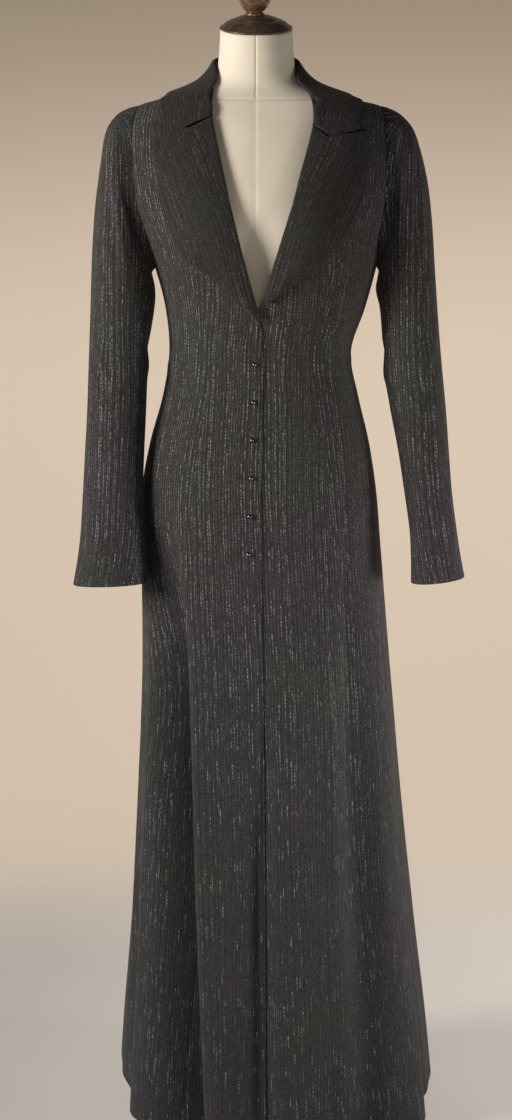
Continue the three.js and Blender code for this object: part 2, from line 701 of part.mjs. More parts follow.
for (const sign of [-1, 1]) {
  const side = sideName(sign);
  const rows = LAPEL[side];
  const last = rows.length - 1;
  const place = (u, row, depth) => {
    const { rollZ, edgeX, edgeZ } = rows[row];
    const rollX = along(FRONT_EDGE[side], 'z', 'x', rollZ);
    const dip = row === last ? notchDip(NOTCH[side], u) : 0;
    const x = lerp(rollX, edgeX, u);
    const z = lerp(rollZ, edgeZ, u) - dip;
    const lift = LAY_GAP + LAPEL_LIFT * Math.sin(Math.PI * Math.min(u * 0.8 + 0.1, 1));
    const under = sign > 0 ? underlap(x, z) : 0;
    return coatPoint(turnAtX(x, z), z, lift - under + TURNED_WALL - depth);
  };
  addPiece(`lapel_${side}`, wallGeometry(LAPEL_COLUMNS, last, TURNED_WALL, place), materials.turnedCloth);
}

// Collar fall and stand
function collarNotch(at) {
  const last = COLLAR.length - 1;
  if (at < 1) {
    return { ...COLLAR_NOTCH.right, fade: 1 - at };
  }
  return { ...COLLAR_NOTCH.left, fade: Math.max(0, at - last + 1) };
}

function collarPoint(at, share, out) {
  const value = (column) => between(COLLAR, column, at);
  const notch = collarNotch(at);
  const dip = notchDip(notch, share) * notch.fade;
  const turn = lerp(value('foldTurn'), value('edgeTurn'), share) * RADIANS;
  const z = lerp(value('foldZ'), value('edgeZ'), share) - dip;
  const laid = coatPoint(turn, z, COLLAR_LIFT + out);
  const fold = coatPoint(value('foldTurn') * RADIANS, value('foldZ'), LAY_GAP + out);
  const edge = coatPoint(value('edgeTurn') * RADIANS, value('edgeZ'), COLLAR_LIFT + out);
  const hung = fold.lerp(edge, share);
  return laid.lerp(hung, THREE.MathUtils.clamp(value('tent'), 0, 1));
}

{
  const last = COLLAR.length - 1;
  const place = (u, row, depth) => collarPoint((row * last) / COLLAR_STEPS, u, TURNED_WALL - depth);
  addPiece('collar_fall', wallGeometry(COLLAR_COLUMNS, COLLAR_STEPS, TURNED_WALL, place), materials.turnedCloth);
}
{
  const place = (u, row, depth) => {
    const turn = lerp(STAND.from, STAND.to, row / STAND.steps);
    const top = along(COLLAR, 'foldTurn', 'foldZ', turn) - STAND.below;
    return coatPoint(turn * RADIANS, lerp(STAND.bottom, top, u), -depth);
  };
  addPiece('collar_stand', wallGeometry(STAND.columns, STAND.steps, WALL, place), materials.turnedCloth);
}

// A turned piece from its profile, radius and height pairs from the axis round to the axis
function turned(profile, segments) {
  const geometry = new THREE.LatheGeometry(
    profile.map(([radius, height]) => new THREE.Vector2(radius, height)),
    segments,
  );
  return geometry.rotateX(HALF_PI);
}

function arc(radius, middle, from, to, steps) {
  return Array.from({ length: steps + 1 }, (_, i) => {
    const angle = lerp(from, to, i / steps) * RADIANS;
    return [radius * Math.cos(angle), middle + radius * Math.sin(angle)];
  });
}

// Buttons, each square to the cloth below it
for (let i = 0; i < BUTTONS.count; i += 1) {
  const z = BUTTONS.topZ - BUTTONS.pitch * i;
  const turn = turnAtX(BUTTONS.x + BUTTONS.drift * i, z);
  const seat = coatPoint(turn, z, LAY_GAP);
  const outward = coatPoint(turn, z, LAY_GAP + 1).sub(seat);
  const { radius, shank } = BUTTONS;
  const profile = [[0, 0], [shank, 0], ...arc(radius, radius + 0.6, -60, 60, 4), [0, 2 * radius + 0.6]];
  const button = addPiece(`button_${i + 1}`, turned(profile, 8), materials.button);
  button.position.copy(seat);
  button.quaternion.setFromUnitVectors(new THREE.Vector3(0, 0, 1), outward.normalize());
}

// Dress form: the body's own sections, inside the coat, with plain rounded shoulders
function formSurface(turn, z) {
  const row = section(z, FORM_SHOULDER);
  const { x, y } = sectionPoint(row, turn);
  const hollow = (z - FORM_HOLLOW.z) / FORM_HOLLOW.height;
  const side = (x - row.centre) / FORM_HOLLOW.width;
  const inward = y < 0 ? FORM_HOLLOW.depth * Math.exp(-hollow * hollow - side * side) : 0;
  return new THREE.Vector3(x, y + inward, z);
}

function formPoint(turn, z) {
  const ease = along(FORM_EASE, 'z', 'ease', z);
  const point = offsetPoint(formSurface, turn, z, -WALL - ease, 0.01, 1.5);
  if (z < ARMHOLE.under) {
    point.z = z;
  }
  point.z += NECK_TILT.slope * smooth(NECK_TILT.from, NECK_TILT.to, z) * point.y;
  return point;
}

{
  const positions = [];
  const index = [];
  for (const z of FORM_ROWS) {
    for (let i = 0; i < FORM_COLUMNS; i += 1) {
      positions.push(...formPoint((2 * Math.PI * i) / FORM_COLUMNS, z).toArray());
    }
  }
  const rows = FORM_ROWS.length;
  for (let j = 0; j < rows - 1; j += 1) {
    for (let i = 0; i < FORM_COLUMNS; i += 1) {
      const next = (i + 1) % FORM_COLUMNS;
      const a = j * FORM_COLUMNS + i;
      const b = j * FORM_COLUMNS + next;
      index.push(a, b, b + FORM_COLUMNS, a, b + FORM_COLUMNS, a + FORM_COLUMNS);
    }
  }
  for (const [row, step] of [[0, -1], [rows - 1, 1]]) {
    const centre = positions.length / 3;
    const z = FORM_ROWS[row];
    const tilt = NECK_TILT.slope * smooth(NECK_TILT.from, NECK_TILT.to, z);
    const low = formPoint(0, z);
    const high = formPoint(Math.PI, z);
    const middle = low.add(high).multiplyScalar(0.5);
    positions.push(middle.x, middle.y, z + tilt * middle.y);
    for (let i = 0; i < FORM_COLUMNS; i += 1) {
      const a = row * FORM_COLUMNS + i;
      const b = row * FORM_COLUMNS + ((i + 1) % FORM_COLUMNS);
      index.push(...(step > 0 ? [centre, a, b] : [centre, b, a]));
    }
  }
  addPiece('form_torso', closedGeometry(positions, index), materials.formCover);
}

// Neck cap and finial, on the sloping top of the neck
const neckTop = FORM_ROWS[FORM_ROWS.length - 1];
{
  const { radius, lip, dome } = CAP;
  const profile = [
    [0, 0],
    [radius - 1, 0],
    [radius + 0.5, 2],
    [radius, lip],
    [radius * 0.86, lip + dome * 0.3],
    [radius * 0.6, lip + dome * 0.68],
    [radius * 0.3, lip + dome],
    [0, lip + dome],
  ];
  const cap = addPiece('neck_cap', turned(profile, 24), materials.darkWood);
  cap.position.set(0, 0.5, neckTop + SEAM_GAP);
  cap.rotation.x = Math.atan(NECK_TILT.slope);
}
{
  const { x, neck, ball, height } = FINIAL;
  const profile = [
    [0, 0],
    [neck, 0],
    [neck, 3],
    [neck * 0.8, 5],
    ...arc(ball, 5 + ball * 0.86, -52, 62, 8),
    [5, height],
    [0, height + 1],
  ];
  const finial = addPiece('finial', turned(profile, 16), materials.darkWood);
  const slope = Math.atan(NECK_TILT.slope);
  const rise = CAP.lip + CAP.dome + SEAM_GAP * 2;
  finial.position.set(x, 0.5 - Math.sin(slope) * rise, neckTop + Math.cos(slope) * rise);
  finial.rotation.x = slope;
}

// Stand under the form: a steel pole in a collar, on a round base
{
  const top = FORM_ROWS[0] - SEAM_GAP;
  const bottom = BASE.height + SEAM_GAP;
  const { radius, collarRadius, collarHeight } = POLE;
  const profile = [
    [0, bottom],
    [radius, bottom],
    [radius, top - collarHeight],
    [collarRadius, top - collarHeight * 0.6],
    [collarRadius, top],
    [0, top],
  ];
  addPiece('form_pole', turned(profile, 20), materials.steel);
}
{
  const { radius, edge, height, boss } = BASE;
  const profile = [
    [0, 0],
    [radius - 3, 0],
    [radius, 4],
    [radius, edge - 4],
    [radius - 5, edge],
    [boss + 12, edge + 6],
    [boss, height - 3],
    [boss - 4, height],
    [0, height],
  ];
  addPiece('form_base', turned(profile, 28), materials.darkWood);
}

// The origin is the middle of the whole object's box, on the floor
const box = new THREE.Box3().setFromObject(model);
model.position.set(-(box.min.x + box.max.x) / 2, -(box.min.y + box.max.y) / 2, 0);
model.updateMatrixWorld(true);

export default model;
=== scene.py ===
import math

import bpy
import numpy as np
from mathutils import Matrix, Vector


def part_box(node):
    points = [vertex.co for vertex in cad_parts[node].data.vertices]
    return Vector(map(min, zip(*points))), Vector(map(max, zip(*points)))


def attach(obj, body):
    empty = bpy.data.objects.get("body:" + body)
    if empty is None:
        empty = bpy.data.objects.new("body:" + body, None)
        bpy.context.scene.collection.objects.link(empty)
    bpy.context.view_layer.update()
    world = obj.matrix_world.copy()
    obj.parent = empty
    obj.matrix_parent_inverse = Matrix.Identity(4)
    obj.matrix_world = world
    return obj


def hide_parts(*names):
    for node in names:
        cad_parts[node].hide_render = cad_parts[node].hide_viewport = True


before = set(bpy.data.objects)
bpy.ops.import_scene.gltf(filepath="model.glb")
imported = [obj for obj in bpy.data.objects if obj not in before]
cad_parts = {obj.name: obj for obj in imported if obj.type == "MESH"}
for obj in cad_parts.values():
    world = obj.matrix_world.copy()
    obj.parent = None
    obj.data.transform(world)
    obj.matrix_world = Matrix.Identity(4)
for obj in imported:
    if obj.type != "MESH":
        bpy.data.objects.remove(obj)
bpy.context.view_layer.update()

# Evening coat on a limbless dress form. The tables and sizes are in millimetres, measured from
# the form's axis and the floor, and the front faces -Y. Meshes are made in metres, on the same
# axis as the solids. Right and left are the wearer's, so the right front lies at -X.
MM = 0.001
base_low, base_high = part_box("form_base")
AXIS = Vector(((base_low.x + base_high.x) / 2, (base_low.y + base_high.y) / 2, 0))

# Camera, level with the chest and looking a little down
CAMERA_DISTANCE = 4.0
CAMERA_HEIGHT = 1.18
CAMERA_PITCH = 5.944
CAMERA_SENSOR = 36
CAMERA_LENS = 93.73

camera_data = bpy.data.cameras.new("camera")
camera_data.sensor_fit = "VERTICAL"
camera_data.sensor_height = CAMERA_SENSOR
camera_data.lens = CAMERA_LENS
camera = bpy.data.objects.new("camera", camera_data)
camera.location = AXIS + Vector((0, -CAMERA_DISTANCE, CAMERA_HEIGHT))
camera.rotation_euler = (math.radians(90 - CAMERA_PITCH), 0, 0)
bpy.context.collection.objects.link(camera)
bpy.context.scene.camera = camera


def table(columns, *rows):
    """A table with named columns, each one an array."""
    values = np.array(rows, dtype=float).T
    return dict(zip(columns.split(), values))


# Cloth thicknesses and the room between pieces
WALL = 2
TURNED_WALL = 2.6
SEAM_GAP = 0.1
LAY_GAP = 0.4

# Outer surface of the coat, a closed section at each height: its reach to each side, to the
# front and to the back, and how square it is, where 2 is an ellipse
BODY = table(
    "z right left front back square",
    (0, -188, 241, -214, 250, 2.9),
    (130, -181, 229, -200, 232, 2.8),
    (343, -169, 207, -177, 200, 2.5),
    (587, -158, 188, -153, 169, 2.35),
    (787, -158, 171, -135, 151, 2.25),
    (862, -157, 165, -128, 146, 2.2),
    (928, -145, 155, -119, 132, 2.2),
    (991, -127, 140, -109, 110, 2.2),
    (1050, -118, 130, -103, 91, 2.2),
    (1110, -123, 149, -111, 89, 2.25),
    (1165, -137, 164, -122, 96, 2.3),
    (1205, -152, 172, -127, 101, 2.3),
    (1250, -173, 186, -122, 105, 2.25),
    (1300, -186, 195, -108, 106, 2.2),
    (1352, -184, 192, -86, 98, 2.1),
    (1384, -158, 168, -68, 86, 2.1),
    (1390, -138, 143, -64, 83, 2.1),
    (1399, -108, 112, -58, 77, 2),
    (1406, -86, 88, -54, 72, 2),
    (1414, -68, 69, -52, 66, 2),
    (1426, -57, 58, -51, 60, 2),
    (1444, -54, 55, -50, 56, 2),
    (1470, -52, 53, -50, 53, 2),
    (1500, -51, 52, -50, 51, 2),
)

# Long folds of the skirt: from its top each one turns about the body between two angles, in
# degrees from the centre front, and stands out or sinks in by its depth, which it reaches at the
# share of the way down in full. Its width before and after that angle differs, so that one wall
# can be steep.
FOLDS = table(
    "top full turn_top turn_hem before after depth",
    (900, 0.5, -47, -30.5, 13, 4, -60),
    (900, 0.6, -35, -18, 6, 12, 10),
    (800, 0.7, -3, -6.5, 7, 5, -20),
    (860, 0.7, 25, 21, 14, 9, 12),
    (900, 0.7, 46, 33, 9, 8, -20),
    (820, 0.75, 62, 56, 9, 9, 7),
    (620, 0.75, 76, 73, 8, 8, -12),
    (700, 0.75, -60, -55, 9, 9, -4),
    (560, 0.75, -76, -73, 9, 9, -15),
    (840, 0.75, 112, 108, 13, 13, 12),
    (880, 0.7, 138, 134, 8, 14, -20),
    (860, 0.75, 176, 163, 14, 14, 12),
    (880, 0.7, 213, 203, 15, 8, -22),
    (820, 0.75, 242, 244, 13, 13, 11),
)

# Height of the hem above the floor, round the body
HEM = table(
    "turn z",
    (-180, 22),
    (-112, 43),
    (-86, 41),
    (-60, 12),
    (0, 9),
    (60, 9),
    (88, 20),
    (115, 24),
    (180, 22),
)
HEM_BLEND = 260

# Shaping over the bust
BUST_X = 78
BUST_Z = 1203
BUST_SPREAD = 50
BUST_LIFT = 9

# Inner edges of the fronts: the overlap, then the roll line up to the neck
FRONT_EDGE = {
    "right": table(
        "z x",
        (0, 12),
        (374, 11),
        (699, 8),
        (859, 7),
        (991, 9),
        (1057, 9),
        (1098, 5),
        (1114, 1),
        (1149, -9),
        (1241, -32),
        (1333, -52),
        (1366, -58),
        (1385, -59),
        (1406, -57),
    ),
    "left": table(
        "z x",
        (0, -20),
        (1050, -20),
        (1085, -14),
        (1110, 4),
        (1124, 10),
        (1162, 21),
        (1241, 46),
        (1287, 58),
        (1352, 75),
        (1379, 76),
        (1396, 72),
        (1406, 66),
    ),
}

# The left front sinks below the right one across this width, up to this height
OVERLAP_START = 6
OVERLAP_END = 26
OVERLAP_TOP = 1112
OVERLAP_FADE = 1140
OVERLAP_WAIST_DROP = 0.9
OVERLAP_HEM_DROP = 1.4
OVERLAP_WAIST = 1000

# Princess seams: the front ones by x, the back ones by angle
PRINCESS = {
    "right": table(
        "z x",
        (0, -124),
        (343, -108),
        (787, -88),
        (892, -80),
        (1050, -62),
        (1110, -72),
        (1170, -92),
        (1200, -106),
        (1250, -140),
    ),
    "left": table(
        "z x",
        (0, 140),
        (343, 120),
        (787, 96),
        (892, 89),
        (1050, 75),
        (1110, 88),
        (1170, 106),
        (1200, 118),
        (1250, 150),
    ),
}
BACK_PRINCESS = table(
    "z turn",
    (0, 143),
    (850, 146),
    (1050, 146),
    (1170, 141),
    (1210, 137),
    (1250, 129),
)

# Armholes: a loop that bends round the shoulder, deeper at the back. A princess seam runs out in a
# point at a share of the loop's height, and at that place the body's radius is about this much.
ARMHOLE_TOP = 1384
ARMHOLE_UNDER = 1165
ARMHOLE_FRONT = 55
ARMHOLE_BACK = 64
PRINCESS_SHARE = 5 / 12
POINT_WIDTH = 1.2
POINT_LENGTH = 50
POINT_RADIUS = 100
NECK_EDGE = 1405

# Sleeves: at each section the outer and inner ends, the middle's place in depth and the half depth
SLEEVE = {
    "right": table(
        "outer_x outer_z inner_x inner_z y half",
        (-158, 1384, -137, 1165, 0, 60),
        (-173, 1380, -141, 1161, 0, 60),
        (-190, 1370, -143, 1156, -1, 60),
        (-204, 1347, -141, 1149, -2, 60),
        (-211, 1304, -138.5, 1138, -3, 59),
        (-218, 1250, -138, 1122, -4, 58),
        (-223, 1180, -140.5, 1100, -6, 56),
        (-226, 1100, -145, 1070, -9, 54),
        (-228, 1036, -148, 1032, -14, 52),
        (-230, 970, -150, 970, -22, 50),
        (-233, 915, -152, 915, -33, 49),
        (-235.5, 862, -153, 862, -46, 48),
        (-238, 808, -151, 810, -60, 47),
        (-242, 772, -149, 775, -67, 48),
        (-248, 738, -148, 741, -72, 49),
    ),
    "left": table(
        "outer_x outer_z inner_x inner_z y half",
        (168, 1384, 164, 1165, 0, 60),
        (182, 1380, 167, 1161, 0, 60),
        (198, 1371, 167.5, 1156, -1, 60),
        (214, 1352, 166, 1149, -2, 60),
        (225, 1320, 163.5, 1139, -3, 59),
        (234, 1280, 164.5, 1128, -4, 58),
        (240, 1225, 168.5, 1112, -6, 57),
        (245, 1150, 171, 1088, -9, 55),
        (250, 1075, 173, 1055, -12, 54),
        (254, 1025, 176, 1018, -16, 53),
        (259, 972, 183, 972, -23, 51),
        (263, 918, 193, 918, -31, 49),
        (267, 864, 201, 864, -42, 48),
        (273, 814, 208, 814, -52, 48),
        (278, 780, 210, 777, -58, 49),
        (284, 748, 210, 739, -63, 50),
    ),
}
HEAD_BLEND = 5
SLEEVE_SEAM = 105
TUBE_FROM = 8

# Lapels: each row runs from a height on the roll line to a point on the outer edge
LAPEL = {
    "right": table(
        "roll_z edge_x edge_z",
        (1104, -3, 1099),
        (1124, -27, 1121),
        (1149, -54, 1149),
        (1172, -88, 1173),
        (1204, -111, 1208),
        (1241, -123, 1243),
        (1287, -131, 1284),
        (1330, -137, 1322),
        (1364, -141, 1357),
    ),
    "left": table(
        "roll_z edge_x edge_z",
        (1121, 18, 1119),
        (1132, 36, 1134),
        (1149, 58, 1150),
        (1172, 82, 1170),
        (1204, 112, 1198),
        (1241, 134, 1236),
        (1287, 148, 1283),
        (1320, 152, 1314),
        (1351, 150, 1346),
    ),
}
# Where the notch is, as a share of the lapel's top row, and how far the row dips there
NOTCH = {"right": (0.36, 14), "left": (0.26, 14)}
LAPEL_LIFT = 6.5
# It lies flatter over its last rows, and keeps this share of its lift at the top one
LAPEL_TOP_ROWS = 2.5
LAPEL_TOP_SHARE = 0.6

# Collar fall: its fold and its outer edge, from one gorge round the back to the other. The
# tent is how far the fall hangs straight instead of lying on the cloth below.
COLLAR = table(
    "fold_turn fold_z edge_turn edge_z tent",
    (-20.5, 1364.6, -46.5, 1358.4, 0),
    (-23.5, 1385, -48.5, 1375, 0),
    (-41, 1406, -59, 1389, 0.3),
    (-68, 1428, -84, 1397, 0.5),
    (-90, 1443, -108, 1397, 0.5),
    (-118, 1450, -130, 1390, 0.5),
    (-150, 1455, -154, 1382, 0.5),
    (-180, 1456, -180, 1379, 0.5),
    (-210, 1455, -206, 1382, 0.5),
    (-242, 1450, -230, 1390, 0.5),
    (-270, 1441, -252, 1396, 0.5),
    (-292, 1426, -275, 1396, 0.5),
    (-317, 1406, -302, 1386, 0.3),
    (-334.5, 1379, -314, 1364, 0),
    (-337, 1351.7, -318, 1346.7, 0),
)
COLLAR_NOTCH = {"right": (0.43, 13.6), "left": (0.34, 13.2)}
COLLAR_LIFT = 3.2
STAND_FROM = -64
STAND_TO = -296
STAND_BOTTOM = 1405.4
STAND_BELOW = 1.2

# Soft creases of the body, from one angle and height to another: troughs have a negative depth
BODY_CREASES = table(
    "p1 q1 p2 q2 width depth",
    (-34, 700, -22, 40, 6, 2.4),
    (-27, 640, -9, 120, 10, -2.6),
    (-64, 760, -52, 120, 9, 2.4),
    (-4, 860, -5, 330, 6, 1.6),
    (6, 760, 5, 60, 7, -2.4),
    (22, 640, 20, 30, 9, -3),
    (29, 880, 26, 240, 8, 2.4),
    (44, 950, 35, 300, 6, -3.4),
    (52, 560, 49, 30, 8, 3),
    (-64, 700, -62, 60, 8, 3),
    (-84, 520, -84, 60, 9, 3),
    (92, 700, 90, 60, 9, -3),
    (124, 760, 122, 60, 10, 3.5),
    (151, 720, 150, 50, 9, 4),
    (188, 760, 183, 80, 10, -4),
    (226, 720, 223, 60, 9, 4),
    (256, 640, 258, 60, 10, -3),
    (-14, 1098, -34, 1076, 7, -1.8),
    (-12, 1080, -30, 1042, 8, 1.4),
    (12, 1092, 30, 1066, 7, -1.6),
    (10, 1070, 26, 1030, 8, 1.2),
    (-58, 1072, -88, 1048, 6, -1.7),
    (-62, 1052, -92, 1024, 7, 1.5),
    (-60, 1028, -84, 1004, 6, -1.3),
    (56, 1082, 86, 1052, 6, -1.8),
    (60, 1060, 90, 1036, 7, 1.6),
    (58, 1034, 82, 1008, 6, -1.2),
    (120, 1076, 160, 1056, 7, -1.8),
    (116, 1052, 152, 1036, 8, 1.5),
    (200, 1070, 240, 1050, 7, -1.6),
    (206, 1046, 236, 1030, 7, 1.3),
    (-52, 1230, -60, 1150, 8, -1.6),
    (52, 1236, 62, 1160, 8, -1.8),
    (-70, 1340, -58, 1250, 9, -2.2),
    (68, 1340, 58, 1262, 9, -2),
    (118, 1300, 134, 1190, 10, -2),
    (240, 1300, 226, 1196, 10, -1.8),
)
BODY_PER_DEGREE = 2.4

# Soft creases of the sleeves, from one angle round the sleeve and distance down it to another
SLEEVE_CREASES = {
    "right": table(
        "p1 q1 p2 q2 width depth",
        (40, 60, 84, 150, 11, -2.4),
        (58, 40, 104, 120, 9, 2),
        (10, 120, 60, 210, 12, -1.8),
        (84, 250, 28, 292, 9, -2.2),
        (96, 286, 34, 318, 8, 2),
        (90, 322, 24, 344, 8, -2.6),
        (100, 352, 44, 368, 7, 1.8),
        (-150, 300, -96, 330, 9, -2.2),
        (-140, 336, -84, 362, 9, 1.8),
        (150, 80, 200, 130, 10, -2.4),
        (160, 120, 214, 160, 10, 1.8),
        (70, 430, 20, 520, 10, -1.5),
        (30, 470, 60, 600, 12, 1.4),
        (-60, 90, -100, 180, 11, -2),
        (-40, 420, -70, 560, 12, -1.6),
    ),
    "left": table(
        "p1 q1 p2 q2 width depth",
        (36, 50, 78, 160, 11, -2.8),
        (54, 36, 96, 132, 9, 2.2),
        (14, 96, 48, 220, 13, -2.2),
        (88, 244, 30, 300, 9, -2),
        (94, 288, 26, 326, 8, 2.2),
        (92, 330, 30, 350, 8, -2.4),
        (102, 366, 40, 384, 8, 1.6),
        (-150, 296, -94, 334, 9, -2),
        (-144, 340, -88, 356, 9, 2),
        (152, 90, 206, 136, 10, -2.2),
        (158, 132, 210, 168, 10, 1.8),
        (66, 440, 26, 540, 11, -1.6),
        (24, 500, 52, 620, 12, 1.5),
        (-58, 80, -104, 170, 11, -2.2),
        (-36, 430, -74, 550, 12, -1.5),
    ),
}
SLEEVE_PER_DEGREE = 0.9

# Creases of a lapel, from a share across it and a row to another
LAPEL_CREASES = table(
    "p1 q1 p2 q2 width depth",
    (10, 30, 46, 92, 9, 1.2),
    (30, 60, 66, 150, 11, -1.2),
    (14, 120, 34, 200, 9, 0.9),
)

# Slow unevenness of hanging cloth: how high it stands and how long its waves are
UNEVEN_HEIGHT = 0.55
UNEVEN_LENGTH = 46
UNEVEN_WAVES = 14
UNEVEN_SEED = 7

# How the edges of a piece sink: a pressed seam is a shallow valley, and a turned edge is round
SEAM_DEPTH = 0.4
SEAM_WIDTH = 2.2
ROLL_RADIUS = 3
# A roll shows this share of its round drop, the inside follows this share of a valley, and creases
# fade out this near to the seams
ROLL_SHARE = 0.7
INSIDE_SHARE = 0.5
CREASE_MARGIN = 12
# The edges of the closing and lapels are pressed thin, with a low ridge of turned-in cloth beside
PRESS_DEPTH = 1.1
PRESS_WIDTH = 4
RIDGE_HEIGHT = 0.9
RIDGE_IN = 5.5
RIDGE_WIDTH = 2.6
# How far in from an edge the close columns lie. They take at most this share of a narrow piece.
EDGE_STEPS = (0, 0.25, 0.6, 1.1, 1.8, 3, 4.4, 6, 8)
EDGE_SHARE = 0.35

# Grids: how far apart the rows and columns of the panels lie, and how many the other pieces have
ROW_STEP = 6.5
COLUMN_STEP = 4.5
PRINCESS_ROWS = 26
ARMHOLE_ROWS = 60
SHOULDER_ROWS = 9
SLEEVE_ROWS = 150
UPPER_SLEEVE_COLUMNS = 48
UNDER_SLEEVE_COLUMNS = 36
LAPEL_ROWS = 80
LAPEL_COLUMNS = 30
COLLAR_ROWS = 170
COLLAR_COLUMNS = 22
STAND_ROWS = 120
STAND_COLUMNS = 10
FORM_COLUMNS = 62

# Usual widths of the collar's pieces and usual radius of a sleeve, for their columns
COLLAR_WIDTH = 55
STAND_WIDTH = 40
SLEEVE_RADIUS = 50

# Steps to both sides of a point for the slopes of a surface: in radians, in height and in sections
TURN_STEP = 0.01
HEIGHT_STEP = 1.5
SLEEVE_STEP = 0.02
BISECT_STEPS = 34
RING_MARKS = 721

# Ball buttons down the closing
BUTTON_COUNT = 6
BUTTON_TOP = 1036
BUTTON_PITCH = 50.2
BUTTON_X = -2
BUTTON_DRIFT = -1.6
BUTTON_RADIUS = 3.4
BUTTON_SHANK = 1.4
BUTTON_FLAT = 0.6
BUTTON_STEPS = 32

# Dress form: the room left inside the coat, its shoulders, and the hollow down the middle of the bust
FORM_EASE = table(
    "z ease",
    (780, 11),
    (870, 9),
    (1050, 5.5),
    (1165, 4.5),
    (1274, 3),
    (1340, 1.2),
    (1384, 0.7),
    (1405, 0.7),
    (1418, 1.2),
    (1440, 1),
    (1500, 1),
)
FORM_SHOULDER = (-146, 155)
FORM_BOTTOM = 800
FORM_TOP = 1486
HOLLOW_Z = 1165
HOLLOW_HEIGHT = 55
HOLLOW_WIDTH = 34
HOLLOW_DEPTH = 12
NECK_TILT_FROM = 1440
NECK_TILT = 0.26
FORM_SEAM_Z = 1390
FORM_SEAM_RISE = 34
FORM_SEAM_DEPTH = 0.8
FORM_SEAM_WIDTH = 1.4
FORM_SEAM_ROWS = (1380, 1428)

# Turned wood and the stand
CAP_RADIUS = 49
CAP_LIP = 3
CAP_DOME = 16
CAP_Y = 0.5
FINIAL_X = -2
FINIAL_NECK = 13
FINIAL_BALL = 22.5
FINIAL_HEIGHT = 49
FINIAL_TIP = 6.5
POLE_RADIUS = 17
POLE_COLLAR = 30
POLE_COLLAR_HEIGHT = 26
BASE_RADIUS = 158
BASE_EDGE = 14
BASE_HEIGHT = 34
BASE_BOSS = 42
TURNED_STEPS = 96


def lerp(a, b, share):
    return a + (b - a) * share


def smooth(low, high, value):
    share = np.clip((value - low) / (high - low), 0, 1)
    return share * share * (3 - 2 * share)


def hermite(share, a, b, start, end):
    square = share * share
    cube = square * share
    return (
        a * (2 * cube - 3 * square + 1)
        + start * (cube - 2 * square + share)
        + b * (3 * square - 2 * cube)
        + end * (cube - square)
    )


def along(rows, key, column, at):
    """A column's value at a place between rows, on a smooth curve through them."""
    keys = rows[key]
    values = rows[column]
    at = np.asarray(at, dtype=float)
    if keys[-1] < keys[0]:
        keys = -keys
        at = -at
    slopes = np.empty_like(keys)
    slopes[1:-1] = (values[2:] - values[:-2]) / (keys[2:] - keys[:-2])
    slopes[0] = (values[1] - values[0]) / (keys[1] - keys[0])
    slopes[-1] = (values[-1] - values[-2]) / (keys[-1] - keys[-2])
    i = np.clip(np.searchsorted(keys, at, side="right") - 1, 0, len(keys) - 2)
    span = keys[i + 1] - keys[i]
    share = np.clip((at - keys[i]) / span, 0, 1)
    return hermite(share, values[i], values[i + 1], slopes[i] * span, slopes[i + 1] * span)


def between(rows, column, at):
    """The same by row number, for a table whose rows are evenly spaced."""
    values = rows[column]
    at = np.asarray(at, dtype=float)
    last = len(values) - 1
    i = np.clip(np.floor(at).astype(int), 0, last - 1)
    start = (values[i + 1] - values[np.maximum(i - 1, 0)]) / 2
    end = (values[np.minimum(i + 2, last)] - values[i]) / 2
    return hermite(at - i, values[i], values[i + 1], start, end)


def section(z, limits=None):
    """One section of the body at each height."""
    row = {column: along(BODY, "z", column, z) for column in ("right", "left", "front", "back", "square")}
    if limits:
        row["right"] = np.maximum(row["right"], limits[0])
        row["left"] = np.minimum(row["left"], limits[1])
    row["centre"] = (row["left"] + row["right"]) / 2
    row["half"] = (row["left"] - row["right"]) / 2
    return row


def section_point(row, turn):
    """x and y on the plain section, at an angle from the centre front."""
    across = np.sin(turn)
    ahead = np.cos(turn)
    square = row["square"]
    reach = (np.abs(across) ** square + np.abs(ahead) ** square) ** (-1 / square)
    x = row["centre"] + row["half"] * across * reach
    y = np.where(ahead > 0, row["front"], -row["back"]) * ahead * reach
    return x, y


def fold_depth(turn, z):
    """How far the skirt's long folds push the cloth out."""
    depth = np.zeros(np.broadcast(turn, z).shape)
    for top, full, turn_top, turn_hem, before, after, fold in zip(*FOLDS.values()):
        down = 1 - z / top
        middle = np.radians(lerp(turn_top, turn_hem, down))
        turned = np.degrees(np.arctan2(np.sin(turn - middle), np.cos(turn - middle)))
        away = turned / np.where(turned < 0, before, after)
        depth = depth + fold * smooth(0, full, down) * np.exp(-away * away)
    return depth


def body_point(turn, z):
    """Points on the coat's outer surface."""
    row = section(z)
    x, y = section_point(row, turn)
    depth = np.where(y < 0, row["front"], row["back"])
    out_x = (x - row["centre"]) / row["half"] ** 2
    out_y = y / depth ** 2
    size = np.hypot(out_x, out_y)
    push = fold_depth(turn, z)
    drop = (z - BUST_Z) / BUST_SPREAD
    side = (np.abs(x) - BUST_X) / BUST_SPREAD
    lift = np.where(y < 0, BUST_LIFT * np.exp(-drop * drop - side * side), 0)
    degrees = np.degrees(np.arctan2(np.sin(turn), np.cos(turn)))
    hem = along(HEM, "turn", "z", degrees) * (1 - smooth(0, HEM_BLEND, z))
    return np.stack([x + out_x / size * push, y + out_y / size * push - lift, z + hem], axis=-1)


def offset_point(surface, a, b, out, step_a, step_b):
    """Points moved out from a surface along its normals."""
    along_a = surface(a + step_a, b) - surface(a - step_a, b)
    along_b = surface(a, b + step_b) - surface(a, b - step_b)
    normal = np.cross(along_a, along_b)
    normal /= np.linalg.norm(normal, axis=-1, keepdims=True)
    return surface(a, b) + normal * np.asarray(out)[..., None]


def coat_point(turn, z, out):
    return offset_point(body_point, turn, z, out, TURN_STEP, HEIGHT_STEP)


